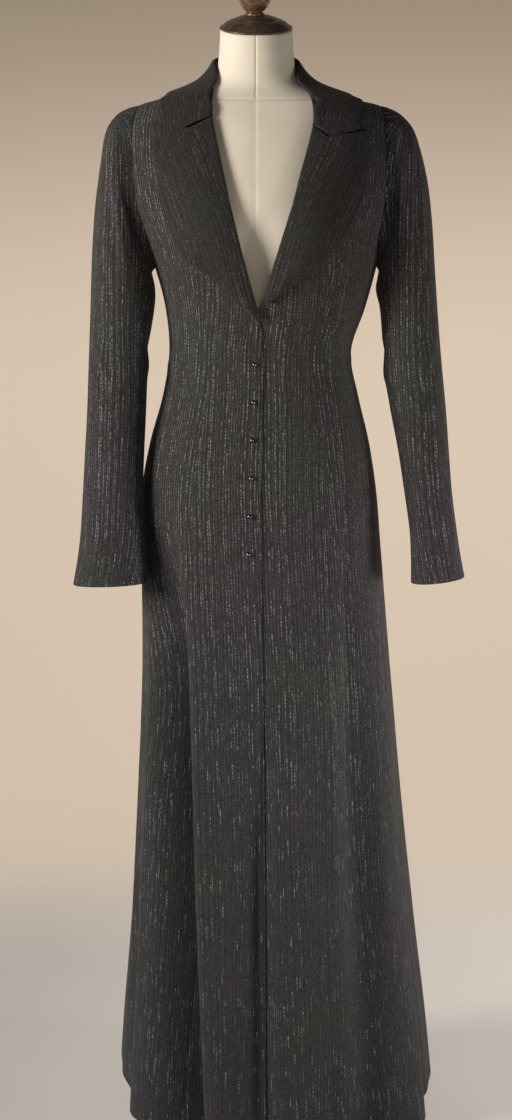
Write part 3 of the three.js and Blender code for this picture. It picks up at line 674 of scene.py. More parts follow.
def bisect(low, high, below):
    """The place between two limits where below stops being true."""
    for _ in range(BISECT_STEPS):
        middle = (low + high) / 2
        under = below(middle)
        low = np.where(under, middle, low)
        high = np.where(under, high, middle)
    return (low + high) / 2


def turn_at_x(x, z):
    """The angle at which the front of a section has a given x."""
    row = section(z)
    start = np.full(np.broadcast(x, z).shape, math.pi / 2)
    return bisect(-start, start, lambda turn: section_point(row, turn)[0] < x)


def turn_at_depth(sign, y, z):
    """The angle at which one side of a section has a given y."""
    row = section(z)
    start = np.full(np.broadcast(y, z).shape, math.pi)
    return sign * bisect(0 * start, start, lambda turn: section_point(row, turn)[1] < y)


ARMHOLE_MIDDLE = (ARMHOLE_TOP + ARMHOLE_UNDER) / 2
ARMHOLE_HALF = (ARMHOLE_TOP - ARMHOLE_UNDER) / 2


def armhole_height(share):
    return ARMHOLE_MIDDLE - ARMHOLE_HALF * np.cos(math.pi * share)


PRINCESS_TOP = armhole_height(PRINCESS_SHARE)
SIGN = {"right": -1, "left": 1}


def outer_turn(side, z, depth):
    """The side seam, and above the underarm the armhole."""
    level = np.clip((z - ARMHOLE_MIDDLE) / ARMHOLE_HALF, -1, 1)
    inside = (z > ARMHOLE_UNDER) & (z < ARMHOLE_TOP)
    loop = turn_at_depth(SIGN[side], depth * np.sqrt(1 - level * level), z)
    return np.where(inside, loop, SIGN[side] * math.pi / 2)


def pointed(side, z, seam, outer, towards):
    """A princess seam that runs out in a point at the armhole."""
    share = smooth(PRINCESS_TOP - POINT_LENGTH, PRINCESS_TOP, z)
    point = outer + towards * SIGN[side] * POINT_WIDTH / POINT_RADIUS
    return np.where(z > PRINCESS_TOP + 0.01, outer, lerp(seam, point, share))


def front_edge_turn(side, z):
    return turn_at_x(along(FRONT_EDGE[side], "z", "x", z), z)


def front_princess_turn(side, z):
    seam = turn_at_x(along(PRINCESS[side], "z", "x", z), z)
    return pointed(side, z, seam, outer_turn(side, z, -ARMHOLE_FRONT), -1)


def back_princess_turn(side, z):
    seam = SIGN[side] * np.radians(along(BACK_PRINCESS, "z", "turn", z))
    return pointed(side, z, seam, outer_turn(side, z, ARMHOLE_BACK), 1)


def front_outer_turn(side, z):
    """The outer line of a front: its princess seam, and above the seam's point the armhole."""
    return np.where(z > PRINCESS_TOP, outer_turn(side, z, -ARMHOLE_FRONT), front_princess_turn(side, z))


def back_outer_turn(side, z):
    """The same line of a back."""
    return np.where(z > PRINCESS_TOP, outer_turn(side, z, ARMHOLE_BACK), back_princess_turn(side, z))


def underlap(x, z):
    """How far the left front sinks to pass under the right one."""
    edge = along(FRONT_EDGE["right"], "z", "x", np.minimum(z, OVERLAP_TOP))
    across = 1 - smooth(edge + OVERLAP_START, edge + OVERLAP_END, x)
    drop = lerp(OVERLAP_HEM_DROP, OVERLAP_WAIST_DROP, np.minimum(z / OVERLAP_WAIST, 1))
    return (WALL + drop) * across * (1 - smooth(OVERLAP_TOP, OVERLAP_FADE, z))


def crease_height(rows, p, q, per_unit):
    """Height of soft troughs and ridges, each one fading towards both of its ends."""
    height = np.zeros(np.broadcast(p, q).shape)
    for p1, q1, p2, q2, width, depth in zip(*rows.values()):
        run = (p2 - p1) * per_unit
        drop = q2 - q1
        away_p = (p - p1) * per_unit
        away_q = q - q1
        share = np.clip((away_p * run + away_q * drop) / (run * run + drop * drop), 0, 1)
        away = np.hypot(away_p - share * run, away_q - share * drop) / width
        height = height + depth * 4 * share * (1 - share) * np.exp(-away * away)
    return height


def unevenness(points):
    """Slow waves of a hanging cloth, from a seeded sum of sines through space."""
    random = np.random.default_rng(UNEVEN_SEED)
    waves = random.normal(size=(UNEVEN_WAVES, 3)) * (1, 1, 0.5) / UNEVEN_LENGTH
    phases = random.uniform(0, 2 * math.pi, UNEVEN_WAVES)
    total = sum(np.sin(points @ wave + phase) for wave, phase in zip(waves, phases))
    return UNEVEN_HEIGHT * total / math.sqrt(UNEVEN_WAVES)


def columns_for(width, count):
    """Shares across a piece for each row, closer together at its edges."""
    edge = np.array(EDGE_STEPS)
    scale = np.minimum(1, EDGE_SHARE * width / edge[-1])[:, None]
    near = edge[None, :] * scale / width[:, None]
    middle = lerp(near[:, -1:], 1 - near[:, -1:], np.linspace(0, 1, count)[None, 1:-1])
    return np.concatenate([near, middle, 1 - near[:, ::-1]], axis=1)


def edge_distances(points):
    """Distance of each grid point from the left, right, low and high edge, along the cloth."""
    across = np.linalg.norm(np.diff(points, axis=1), axis=-1)
    upward = np.linalg.norm(np.diff(points, axis=0), axis=-1)
    left = np.concatenate([np.zeros((len(points), 1)), np.cumsum(across, axis=1)], axis=1)
    low = np.concatenate([np.zeros((1, points.shape[1])), np.cumsum(upward, axis=0)], axis=0)
    return {"left": left, "right": left[:, -1:] - left, "low": low, "high": low[-1:] - low}


def along_edge(points, distance):
    """Stripes that run with the columns of a piece, side by side from its left edge."""
    return distance["left"], distance["low"]


def unrolled(points, distance):
    """Lays a piece flat along its left edge, as its pattern is cut, with that edge upright."""
    line = points[:, 0]
    upward = np.gradient(line, axis=0)
    upward /= np.linalg.norm(upward, axis=1, keepdims=True)
    across = points[:, 1] - points[:, 0]
    across /= np.linalg.norm(across, axis=1, keepdims=True)
    normal = np.cross(across, upward)
    normal /= np.linalg.norm(normal, axis=1, keepdims=True)
    bends = np.einsum("ij,ij->i", np.cross(upward[:-1], upward[1:]), normal[:-1])
    heading = math.pi / 2 + np.concatenate([[0], np.cumsum(np.arcsin(np.clip(bends, -1, 1)))])
    lean = np.arctan2(np.einsum("ij,ij->i", np.cross(upward, across), normal),
                      np.einsum("ij,ij->i", upward, across))
    steps = np.linalg.norm(np.diff(line, axis=0), axis=1) * np.exp(1j * (heading[:-1] + heading[1:]) / 2)
    flat_line = np.concatenate([[0], np.cumsum(steps)])
    flat = flat_line[:, None] + distance["left"] * np.exp(1j * (heading + lean))[:, None]
    middle = flat_line[len(flat_line) // 2]
    flat = flat * 1j * abs(middle) / middle
    return flat.real, flat.imag


def round_drop(distance, radius):
    """How far a rounded edge lies below the surface."""
    inside = np.clip(radius - distance, 0, radius)
    return radius - np.sqrt(radius * radius - inside * inside)


def smooth_shaded(mesh):
    mesh.polygons.foreach_set("use_smooth", np.ones(len(mesh.polygons), dtype=bool))


def new_piece(name, positions, faces, material, nodes):
    """Makes a mesh piece from millimetre points, in place of its solids."""
    mesh = bpy.data.meshes.new(name)
    metres = np.asarray(positions).reshape(-1, 3) * MM + np.array(AXIS)
    mesh.from_pydata(metres.tolist(), [], faces)
    mesh.materials.append(material)
    smooth_shaded(mesh)
    piece = bpy.data.objects.new(name, mesh)
    bpy.context.collection.objects.link(piece)
    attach(piece, "root")
    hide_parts(*nodes)
    return piece


def add_grain(mesh, grain):
    """A UV map in metres: u runs across the stripes and v along the grain."""
    layer = mesh.uv_layers.new(name="grain")
    loops = np.empty(len(mesh.loops), dtype=np.int32)
    mesh.loops.foreach_get("vertex_index", loops)
    layer.data.foreach_set("uv", (grain[loops] * MM).astype(np.float32).ravel())


def shell_faces(rows, columns):
    """Quads of a closed shell: its outer grid, its inner grid, then its rim."""
    layer = rows * columns
    index = np.arange(layer).reshape(rows, columns)
    a, b = index[:-1, :-1], index[:-1, 1:]
    c, d = index[1:, 1:], index[1:, :-1]
    outer = np.stack([a, b, c, d], axis=-1).reshape(-1, 4)
    inner = outer[:, ::-1] + layer
    ring = np.concatenate([index[0], index[1:, -1], index[-1, -2::-1], index[-2:0:-1, 0]])
    following = np.roll(ring, -1)
    rim = np.stack([following, ring, ring + layer, following + layer], axis=-1)
    return np.concatenate([outer, inner, rim])


def add_cloth(name, place, thickness, edges, creases, grain, material, outward=1):
    """A thin shell of cloth. place(out) gives the grid of points at each height above it, and
    grain(points, distance) its place in the weave, across the stripes and along them."""
    points = place(0)
    distance = edge_distances(points)
    seam = np.zeros(points.shape[:2])
    turned = np.zeros(points.shape[:2])
    ridge = 0
    for edge, kind in edges.items():
        if kind == "seam":
            away = distance[edge] / SEAM_WIDTH
            seam = np.maximum(seam, SEAM_DEPTH * np.exp(-away * away))
        elif kind == "pressed":
            away = distance[edge] / PRESS_WIDTH
            seam = np.maximum(seam, PRESS_DEPTH * np.exp(-away * away))
            past = (distance[edge] - RIDGE_IN) / RIDGE_WIDTH
            ridge = RIDGE_HEIGHT * np.exp(-past * past)
        elif kind == "roll":
            seam = np.maximum(seam, round_drop(distance[edge], ROLL_RADIUS) * ROLL_SHARE)
        else:
            turned = np.maximum(turned, round_drop(distance[edge], thickness / 2))
    settled = np.minimum(1, np.minimum(*[distance[edge] for edge in ("left", "right")]) / CREASE_MARGIN)
    height = creases * settled + unevenness(points) + ridge
    outer = place(height - seam - turned)
    inner = place(height - seam * INSIDE_SHARE - thickness + turned)
    faces = shell_faces(*points.shape[:2])
    if outward < 0:
        faces = faces[:, ::-1]
    positions = np.concatenate([outer.reshape(-1, 3), inner.reshape(-1, 3)])
    piece = new_piece(name, positions, faces.tolist(), material, [name.replace("cloth_", "")])
    chart = np.stack(np.broadcast_arrays(*grain(points, distance)), axis=-1).reshape(-1, 2)
    add_grain(piece.data, np.concatenate([chart, chart]))
    return piece


# Materials
def colour(hex_code):
    """A linear colour from an sRGB hex code."""
    channels = [int(hex_code[i:i + 2], 16) / 255 for i in (1, 3, 5)]
    linear = [c / 12.92 if c <= 0.04045 else ((c + 0.055) / 1.055) ** 2.4 for c in channels]
    return (*linear, 1)


def add(tree, kind, settings, sockets, out=0):
    """Adds a node with its settings and links, and gives one of its outputs."""
    node = tree.nodes.new(kind)
    for name, value in settings.items():
        setattr(node, name, value)
    for name, value in sockets.items():
        if isinstance(value, bpy.types.NodeSocket):
            tree.links.new(value, node.inputs[name])
        else:
            node.inputs[name].default_value = value
    return node.outputs[out] if len(node.outputs) else node


def new_material(name):
    material = bpy.data.materials.new(name)
    material.use_nodes = True
    material.node_tree.nodes.clear()
    return material, material.node_tree


def finish_material(tree, surface, bump_height, bump_strength, bump_distance):
    """The principled shader with its bump, joined to the output."""
    normal = add(tree, "ShaderNodeBump", {}, {
        "Strength": bump_strength, "Distance": bump_distance, "Height": bump_height})
    shader = add(tree, "ShaderNodeBsdfPrincipled", {}, {**surface, "Normal": normal})
    add(tree, "ShaderNodeOutputMaterial", {}, {"Surface": shader})


# Stripe and weave sizes of the suiting. The stitches are drawn about twice as wide as the
# real ones, which are half a millimetre, so that they show from across a room.
STRIPE_PITCH = 4.3
STRIPE_WIDTH = 0.9
STITCH_PITCH = 4.4
STREAK_WIDTH = 1.3
NUB_WIDTH = 2.2
TWILL_PITCH = 2.2


def wool_suiting(name, stitch_hex, stitch_amount, ground_level):
    """Napped wool suiting, woven, with broken stripes of pale running stitches.

    Near black, warm towards the shoulders and cooler below, with a faint green and violet
    cast in places, short slubs along the grain, and a dull bloom at grazing angles.
    """
    material, tree = new_material(name)
    grain = add(tree, "ShaderNodeUVMap", {"uv_map": "grain"}, {})
    across = add(tree, "ShaderNodeSeparateXYZ", {}, {0: grain}, 0)
    down = add(tree, "ShaderNodeSeparateXYZ", {}, {0: grain}, 1)
    place = add(tree, "ShaderNodeTexCoord", {}, {}, 3)
    height = add(tree, "ShaderNodeSeparateXYZ", {}, {0: place}, 2)

    # Stripes wander by about half a millimetre
    wander_at = add(tree, "ShaderNodeMapping", {}, {"Vector": grain, "Scale": (45, 7, 1)})
    wander = add(tree, "ShaderNodeTexNoise", {}, {"Vector": wander_at, "Scale": 1, "Detail": 1})
    shift = add(tree, "ShaderNodeMapRange", {}, {0: wander, 1: 0.3, 2: 0.7, 3: -0.0013, 4: 0.0013})
    bent = add(tree, "ShaderNodeMath", {"operation": "ADD"}, {0: across, 1: shift})
    stripe = add(tree, "ShaderNodeMath", {"operation": "DIVIDE"}, {0: bent, 1: STRIPE_PITCH * MM})
    number = add(tree, "ShaderNodeMath", {"operation": "FLOOR"}, {0: stripe})
    part = add(tree, "ShaderNodeMath", {"operation": "FRACT"}, {0: stripe})
    chance = add(tree, "ShaderNodeTexWhiteNoise", {"noise_dimensions": "1D"}, {"W": number}, 0)
    middle = add(tree, "ShaderNodeMapRange", {}, {0: chance, 3: 0.25, 4: 0.75})
    away = add(tree, "ShaderNodeMath", {"operation": "SUBTRACT"}, {0: part, 1: middle})

    # Each stripe is a row of short stitches of uneven length, none quite in line, in runs with gaps
    offset = add(tree, "ShaderNodeMath", {"operation": "MULTIPLY"}, {0: chance, 1: 97})
    run_at = add(tree, "ShaderNodeMath", {"operation": "MULTIPLY_ADD"}, {0: down, 1: 26, 2: offset})
    run = add(tree, "ShaderNodeTexNoise", {"noise_dimensions": "1D"}, {
        "W": run_at, "Scale": 1, "Detail": 2})
    count = add(tree, "ShaderNodeMath", {"operation": "MULTIPLY_ADD"}, {
        0: down, 1: 1 / (STITCH_PITCH * MM), 2: offset})
    count = add(tree, "ShaderNodeMath", {"operation": "MULTIPLY_ADD"}, {0: run, 1: 6, 2: count})
    turn = add(tree, "ShaderNodeMath", {"operation": "FLOOR"}, {0: count})
    slip = add(tree, "ShaderNodeTexWhiteNoise", {"noise_dimensions": "1D"}, {"W": turn}, 0)
    bold = add(tree, "ShaderNodeMapRange", {}, {0: slip, 3: 0.3, 4: 1.45})
    slip = add(tree, "ShaderNodeMapRange", {}, {0: slip, 3: -0.07, 4: 0.07})
    away = add(tree, "ShaderNodeMath", {"operation": "ADD"}, {0: away, 1: slip})
    away = add(tree, "ShaderNodeMath", {"operation": "ABSOLUTE"}, {0: away})
    thread = STRIPE_WIDTH / STRIPE_PITCH
    line = add(tree, "ShaderNodeMapRange", {"interpolation_type": "SMOOTHSTEP"}, {
        0: away, 1: thread * 0.3, 2: thread * 1.1, 3: 1, 4: 0})
    beat = add(tree, "ShaderNodeMath", {"operation": "PINGPONG"}, {0: count, 1: 0.5})
    stitch = add(tree, "ShaderNodeMapRange", {"interpolation_type": "SMOOTHSTEP"}, {
        0: beat, 1: 0.08, 2: 0.32, 3: 0.16, 4: 1})
    patch = add(tree, "ShaderNodeTexNoise", {}, {"Vector": place, "Scale": 9, "Detail": 1})
    dense = add(tree, "ShaderNodeMapRange", {}, {0: height, 1: 0.1, 2: 0.9, 3: 0.56, 4: 0.46})
    patchy = add(tree, "ShaderNodeMapRange", {}, {0: patch, 1: 0.3, 2: 0.7, 3: 0.06, 4: -0.06})
    limit = add(tree, "ShaderNodeMath", {"operation": "ADD"}, {0: dense, 1: patchy})
    over = add(tree, "ShaderNodeMath", {"operation": "SUBTRACT"}, {0: run, 1: limit})
    kept = add(tree, "ShaderNodeMapRange", {"interpolation_type": "SMOOTHSTEP"}, {
        0: over, 1: -0.015, 2: 0.035, 3: 0, 4: 1})
    bright = add(tree, "ShaderNodeTexWhiteNoise", {"noise_dimensions": "1D"}, {"W": offset}, 0)
    bright = add(tree, "ShaderNodeMapRange", {}, {0: bright, 3: 0.2, 4: 1})
    bright = add(tree, "ShaderNodeMath", {"operation": "MULTIPLY"}, {0: bright, 1: kept})
    faint = add(tree, "ShaderNodeMapRange", {}, {0: height, 1: 0.1, 2: 0.9, 3: 0.09, 4: 0.24})
    bright = add(tree, "ShaderNodeMath", {"operation": "MAXIMUM"}, {0: bright, 1: faint})
    marks = add(tree, "ShaderNodeMath", {"operation": "MULTIPLY"}, {0: line, 1: stitch})
    marks = add(tree, "ShaderNodeMath", {"operation": "MULTIPLY"}, {0: marks, 1: bold})
    marks = add(tree, "ShaderNodeMath", {"operation": "MULTIPLY"}, {0: marks, 1: bright})

    # Fine slubs along the grain between the stripes
    slub_at = add(tree, "ShaderNodeMapping", {}, {
        "Vector": grain, "Scale": (1 / (STREAK_WIDTH * MM), 70, 1)})
    slub = add(tree, "ShaderNodeTexNoise", {}, {"Vector": slub_at, "Scale": 1, "Detail": 2})
    slub = add(tree, "ShaderNodeMapRange", {}, {0: slub, 1: 0.35, 2: 0.75, 3: 0, 4: 1})

    # Small nubs of the napped surface
    nub_at = add(tree, "ShaderNodeMapping", {}, {
        "Vector": grain, "Scale": (1 / (NUB_WIDTH * MM), 0.6 / (NUB_WIDTH * MM), 1)})
    nub = add(tree, "ShaderNodeTexNoise", {}, {"Vector": nub_at, "Scale": 1, "Detail": 2})
    nub = add(tree, "ShaderNodeMapRange", {}, {
        0: nub, 1: 0.3, 2: 0.72, 3: 0.55 * ground_level, 4: 1.5 * ground_level})

    # Slow colour changes of the wool: a little darker and warmer towards the shoulders, with a cast in
    # places
    cast = add(tree, "ShaderNodeTexNoise", {}, {"Vector": place, "Scale": 5.5, "Detail": 2})
    warm = add(tree, "ShaderNodeMapRange", {}, {0: height, 1: 0.35, 2: 1.2})
    ground = add(tree, "ShaderNodeMix", {"data_type": "RGBA"}, {
        0: warm, 6: colour("#25272c"), 7: colour("#272221")}, 2)
    green = add(tree, "ShaderNodeMapRange", {}, {0: cast, 1: 0.52, 2: 0.66, 3: 0, 4: 0.7})
    ground = add(tree, "ShaderNodeMix", {"data_type": "RGBA"}, {
        0: green, 6: ground, 7: colour("#282b28")}, 2)
    violet = add(tree, "ShaderNodeMapRange", {}, {0: cast, 1: 0.46, 2: 0.34, 3: 0, 4: 0.75})
    ground = add(tree, "ShaderNodeMix", {"data_type": "RGBA"}, {
        0: violet, 6: ground, 7: colour("#302b35")}, 2)
    slubbed = add(tree, "ShaderNodeMath", {"operation": "MULTIPLY"}, {0: slub, 1: 0.42})
    ground = add(tree, "ShaderNodeMix", {"data_type": "RGBA"}, {
        0: slubbed, 6: ground, 7: colour("#4a4643")}, 2)
    strength = add(tree, "ShaderNodeMath", {"operation": "MULTIPLY"}, {0: marks, 1: stitch_amount})
    ground = add(tree, "ShaderNodeVectorMath", {"operation": "SCALE"}, {0: ground, 3: nub})
    cloth = add(tree, "ShaderNodeMix", {"data_type": "RGBA"}, {
        0: strength, 6: ground, 7: colour(stitch_hex)}, 2)

    # Raised stitches over a low twill
    twill_at = add(tree, "ShaderNodeMath", {"operation": "ADD"}, {0: across, 1: down})
    twill = add(tree, "ShaderNodeMath", {"operation": "MULTIPLY"}, {
        0: twill_at, 1: 2 * math.pi / (TWILL_PITCH * MM)})
    twill = add(tree, "ShaderNodeMath", {"operation": "SINE"}, {0: twill})
    relief = add(tree, "ShaderNodeMath", {"operation": "MULTIPLY_ADD"}, {0: twill, 1: 0.12, 2: slub})
    relief = add(tree, "ShaderNodeMath", {"operation": "ADD"}, {0: relief, 1: marks})
    finish_material(tree, {
        "Base Color": cloth,
        "Roughness": 0.88,
        "IOR": 1.5,
        "Specular IOR Level": 0.3,
        "Sheen Weight": 0.25,
        "Sheen Roughness": 0.4,
        "Sheen Tint": colour("#8e8a88"),
    }, relief, 0.5, 0.0005)
    return material


def cotton_jersey_cover():
    """Cotton jersey, stretched over the form: cream, matt, with a fine knit and slight soiling."""
    material, tree = new_material("stretched_cotton_jersey")
    place = add(tree, "ShaderNodeTexCoord", {}, {}, 3)
    stain = add(tree, "ShaderNodeTexNoise", {}, {"Vector": place, "Scale": 7, "Detail": 4})
    stain = add(tree, "ShaderNodeMapRange", {}, {0: stain, 1: 0.42, 2: 0.72})
    cover = add(tree, "ShaderNodeMix", {"data_type": "RGBA"}, {
        0: stain, 6: colour("#ece2d0"), 7: colour("#ddcfb8")}, 2)
    knit_at = add(tree, "ShaderNodeMapping", {}, {"Vector": place, "Scale": (900, 900, 420)})
    knit = add(tree, "ShaderNodeTexNoise", {}, {"Vector": knit_at, "Scale": 1, "Detail": 1})
    finish_material(tree, {
        "Base Color": cover,
        "Roughness": 0.85,
        "Specular IOR Level": 0.3,
        "Sheen Weight": 0.1,
        "Sheen Roughness": 0.5,
    }, knit, 0.3, 0.0003)
    return material


def varnished_beech(name, dark_hex, light_hex, roughness):
    """Turned beech, stained dark and varnished: growth lines along the grain under a clear gloss."""
    material, tree = new_material(name)
    place = add(tree, "ShaderNodeTexCoord", {}, {}, 3)
    grain_at = add(tree, "ShaderNodeMapping", {}, {"Vector": place, "Scale": (60, 340, 60)})
    grain = add(tree, "ShaderNodeTexNoise", {}, {
        "Vector": grain_at, "Scale": 1, "Detail": 5, "Distortion": 1.2})
    grain = add(tree, "ShaderNodeMapRange", {}, {0: grain, 1: 0.35, 2: 0.68})
    wood = add(tree, "ShaderNodeMix", {"data_type": "RGBA"}, {
        0: grain, 6: colour(dark_hex), 7: colour(light_hex)}, 2)
    finish_material(tree, {
        "Base Color": wood,
        "Roughness": roughness,
        "IOR": 1.5,
        "Coat Weight": 0.5,
        "Coat Roughness": 0.15,
    }, grain, 0.15, 0.0003)
    return material


def black_nickel():
    """Dark nickel plate on brass, polished: a mid grey that mirrors dark, with a small hard glint."""
    material, tree = new_material("polished_nickel_plate")
    place = add(tree, "ShaderNodeTexCoord", {}, {}, 3)
    cloud = add(tree, "ShaderNodeTexNoise", {}, {"Vector": place, "Scale": 400, "Detail": 2})
    plate = add(tree, "ShaderNodeMix", {"data_type": "RGBA"}, {
        0: cloud, 6: colour("#5f5e60"), 7: colour("#757477")}, 2)
    finish_material(tree, {
        "Base Color": plate,
        "Metallic": 1,
        "Roughness": 0.2,
    }, cloud, 0.05, 0.0001)
    return material


def enamelled_steel():
    """Steel tube, stove-enamelled satin black: faint orange peel and a soft reflection."""
    material, tree = new_material("stove_enamelled_steel")
    place = add(tree, "ShaderNodeTexCoord", {}, {}, 3)
    peel = add(tree, "ShaderNodeTexNoise", {}, {"Vector": place, "Scale": 320, "Detail": 2})
    wear = add(tree, "ShaderNodeTexNoise", {}, {"Vector": place, "Scale": 22, "Detail": 4})
    enamel = add(tree, "ShaderNodeMix", {"data_type": "RGBA"}, {
        0: wear, 6: colour("#1b1b1b"), 7: colour("#2c2b2a")}, 2)
    finish_material(tree, {
        "Base Color": enamel,
        "Roughness": 0.38,
        "IOR": 1.5,
    }, peel, 0.1, 0.0002)
    return material


def glowing_shaded_wall():
    """Emulsion on a studio sweep: pale and matt, with a painted glow that stands in for light on it,
    greyer on the floor, with painted light and shade on the floor and painted shade towards the top."""
    material, tree = new_material("emulsion_with_painted_glow_and_shade")
    place = add(tree, "ShaderNodeTexCoord", {}, {}, 3)
    mottle = add(tree, "ShaderNodeTexNoise", {}, {"Vector": place, "Scale": 1.5, "Detail": 2})
    depth = add(tree, "ShaderNodeSeparateXYZ", {}, {0: place}, 1)
    height = add(tree, "ShaderNodeSeparateXYZ", {}, {0: place}, 2)
    paint_and_painted_light = add(tree, "ShaderNodeMix", {"data_type": "RGBA"}, {
        0: mottle, 6: colour("#dacbb9"), 7: colour("#d7c7b4")}, 2)
    low = add(tree, "ShaderNodeMapRange", {"interpolation_type": "SMOOTHSTEP"}, {
        0: depth, 1: 0.7, 2: 2, 3: 1, 4: 0})
    # Painted light on the floor: lighter to the right, to fill the key light's shadow there, and greyer to
    # the left, where the key light falls
    side = add(tree, "ShaderNodeSeparateXYZ", {}, {0: place}, 0)
    side = add(tree, "ShaderNodeMapRange", {}, {0: side, 1: -0.4, 2: 0.4})
    floor = add(tree, "ShaderNodeMix", {"data_type": "RGBA"}, {
        0: side, 6: colour("#b1aca6"), 7: colour("#d6d0c8")}, 2)
    paint_and_painted_light = add(tree, "ShaderNodeMix", {"data_type": "RGBA"}, {
        0: low, 6: paint_and_painted_light, 7: floor}, 2)
    # Painted shade: the wall is drawn darker towards the top, where less light falls
    high = add(tree, "ShaderNodeMapRange", {"interpolation_type": "SMOOTHSTEP"}, {
        0: height, 1: 0.8, 2: 2, 3: 0, 4: 1})
    paint_and_painted_light = add(tree, "ShaderNodeMix", {"data_type": "RGBA"}, {
        0: high, 6: paint_and_painted_light, 7: colour("#8f8070")}, 2)
    # The wall glows in its own colour: painted light that stands in for lamps on the sweep
    finish_material(tree, {
        "Base Color": paint_and_painted_light,
        "Roughness": 0.9,
        "Emission Color": paint_and_painted_light,
        "Emission Strength": 0.6,
    }, mottle, 0.02, 0.001)
    return material


SUITING = wool_suiting("woven_wool_suiting", "#8b8c8c", 0.84, 1)
# The lapels and collar take the same suiting drawn darker, with fainter stitches
TURNED_SUITING = wool_suiting("darker_wool_suiting", "#787470", 0.55, 0.78)
COVER = cotton_jersey_cover()
CAP_WOOD = varnished_beech("stained_turned_beech", "#3b2a22", "#5e483b", 0.5)
FINIAL_WOOD = varnished_beech("varnished_turned_beech", "#4a3020", "#7b5a3c", 0.28)
BASE_WOOD = varnished_beech("waxed_turned_beech", "#38261c", "#5a4030", 0.42)
NICKEL = black_nickel()
ENAMEL = enamelled_steel()
WALL_GLOW_AND_SHADE = glowing_shaded_wall()


# Body panels
def panel_heights(top):
    """Row heights up to the underarm, round the armhole and over the shoulder."""
    hem = np.array(EDGE_STEPS)
    skirt = np.linspace(hem[-1], ARMHOLE_UNDER, int((ARMHOLE_UNDER - hem[-1]) / ROW_STEP))
    if top == "armhole":
        loop = armhole_height(np.linspace(0, PRINCESS_SHARE, PRINCESS_ROWS))
        return np.concatenate([hem[:-1], skirt, loop[1:]])
    loop = armhole_height(np.linspace(0, 1, ARMHOLE_ROWS))
    shoulder = np.linspace(ARMHOLE_TOP, NECK_EDGE, SHOULDER_ROWS)
    return np.concatenate([hem[:-1], skirt, loop[1:], shoulder[1:]])


def inset_turn(turn, z, towards):
    """A seam line moved into its panel by half a seam gap, measured along the cloth."""
    step = 0.002
    stretch = np.linalg.norm(body_point(turn + towards * step, z) - body_point(turn, z), axis=-1) / step
    return turn + towards * SEAM_GAP / 2 / stretch


def distance_round(turn, z, start):
    """How far points lie from one angle of the body, measured level round it."""
    marks = np.linspace(-math.pi, math.pi, RING_MARKS)
    ring = body_point(marks[None, :], z[:, None])
    steps = np.linalg.norm(np.diff(ring, axis=1), axis=-1)
    lengths = np.concatenate([np.zeros((len(z), 1)), np.cumsum(steps, axis=1)], axis=1)
    return np.array([
        np.interp(row, marks, length) - np.interp(start, marks, length)
        for row, length in zip(turn, lengths)
    ])


def add_panel(name, top, from_turn, to_turn, edges, grain_turn, sink=None):
    """A panel between two seam lines. Its stripes hang straight down at one angle of the body."""
    z = panel_heights(top)
    start = from_turn(z)
    end = to_turn(z)
    width = np.maximum(np.linalg.norm(body_point(end, z) - body_point(start, z), axis=-1), 1)
    outward = 1 if (end - start).mean() > 0 else -1
    low = inset_turn(start, z, outward)[:, None]
    high = inset_turn(end, z, -outward)[:, None]
    turn = lerp(low, high, columns_for(width, int(width.max() / COLUMN_STEP)))
    heights = np.broadcast_to(z[:, None], turn.shape)
    sunk = sink(body_point(turn, heights)[..., 0], heights) if sink else 0
    creases = crease_height(BODY_CREASES, np.mod(np.degrees(turn) + 90, 360) - 90, heights, BODY_PER_DEGREE)
    creases = creases * np.exp(-sunk)

    def place(out):
        return coat_point(turn, heights, out - sunk)

    def grain(points, distance):
        return distance_round(turn, z, math.radians(grain_turn)), distance["low"]

    return add_cloth(f"cloth_{name}", place, WALL, edges, creases, grain, SUITING, outward)


SEAMED = {"left": "seam", "right": "seam", "low": "turned"}
FRONT_GRAIN = 6
SIDE_FRONT_GRAIN = 38
SIDE_BACK_GRAIN = 118
BACK_GRAIN = 168
for side in ("right", "left"):
    add_panel(
        f"front_{side}", "shoulder",
        lambda z: front_edge_turn(side, z),
        lambda z: front_outer_turn(side, z),
        {"left": "pressed" if side == "right" else "turned", "right": "seam", "low": "turned"},
        SIGN[side] * FRONT_GRAIN,
        underlap if side == "left" else None,
    )
    add_panel(
        f"side_front_{side}", "armhole",
        lambda z: front_princess_turn(side, z),
        lambda z: outer_turn(side, z, -ARMHOLE_FRONT),
        SEAMED, SIGN[side] * SIDE_FRONT_GRAIN,
    )
    add_panel(
        f"side_back_{side}", "armhole",
        lambda z: outer_turn(side, z, ARMHOLE_BACK),
        lambda z: back_princess_turn(side, z),
        SEAMED, SIGN[side] * SIDE_BACK_GRAIN,
    )
    add_panel(
        f"back_{side}", "shoulder",
        lambda z: back_outer_turn(side, z),
        lambda z: np.full(z.shape, SIGN[side] * math.pi),
        SEAMED, SIGN[side] * BACK_GRAIN,
    )


# Sleeves: the first section is the armhole itself, and its shape fades into the table's sections
def sleeve_table_point(side, angle, at):
    rows = SLEEVE[side]
    outer = np.stack([between(rows, "outer_x", at), 0 * at, between(rows, "outer_z", at)], axis=-1)
    inner = np.stack([between(rows, "inner_x", at), 0 * at, between(rows, "inner_z", at)], axis=-1)
    middle = (outer + inner) / 2
    point = middle + (outer - middle) * np.cos(angle)[..., None]
    point[..., 1] = between(rows, "y", at) - between(rows, "half", at) * np.sin(angle)
    return point


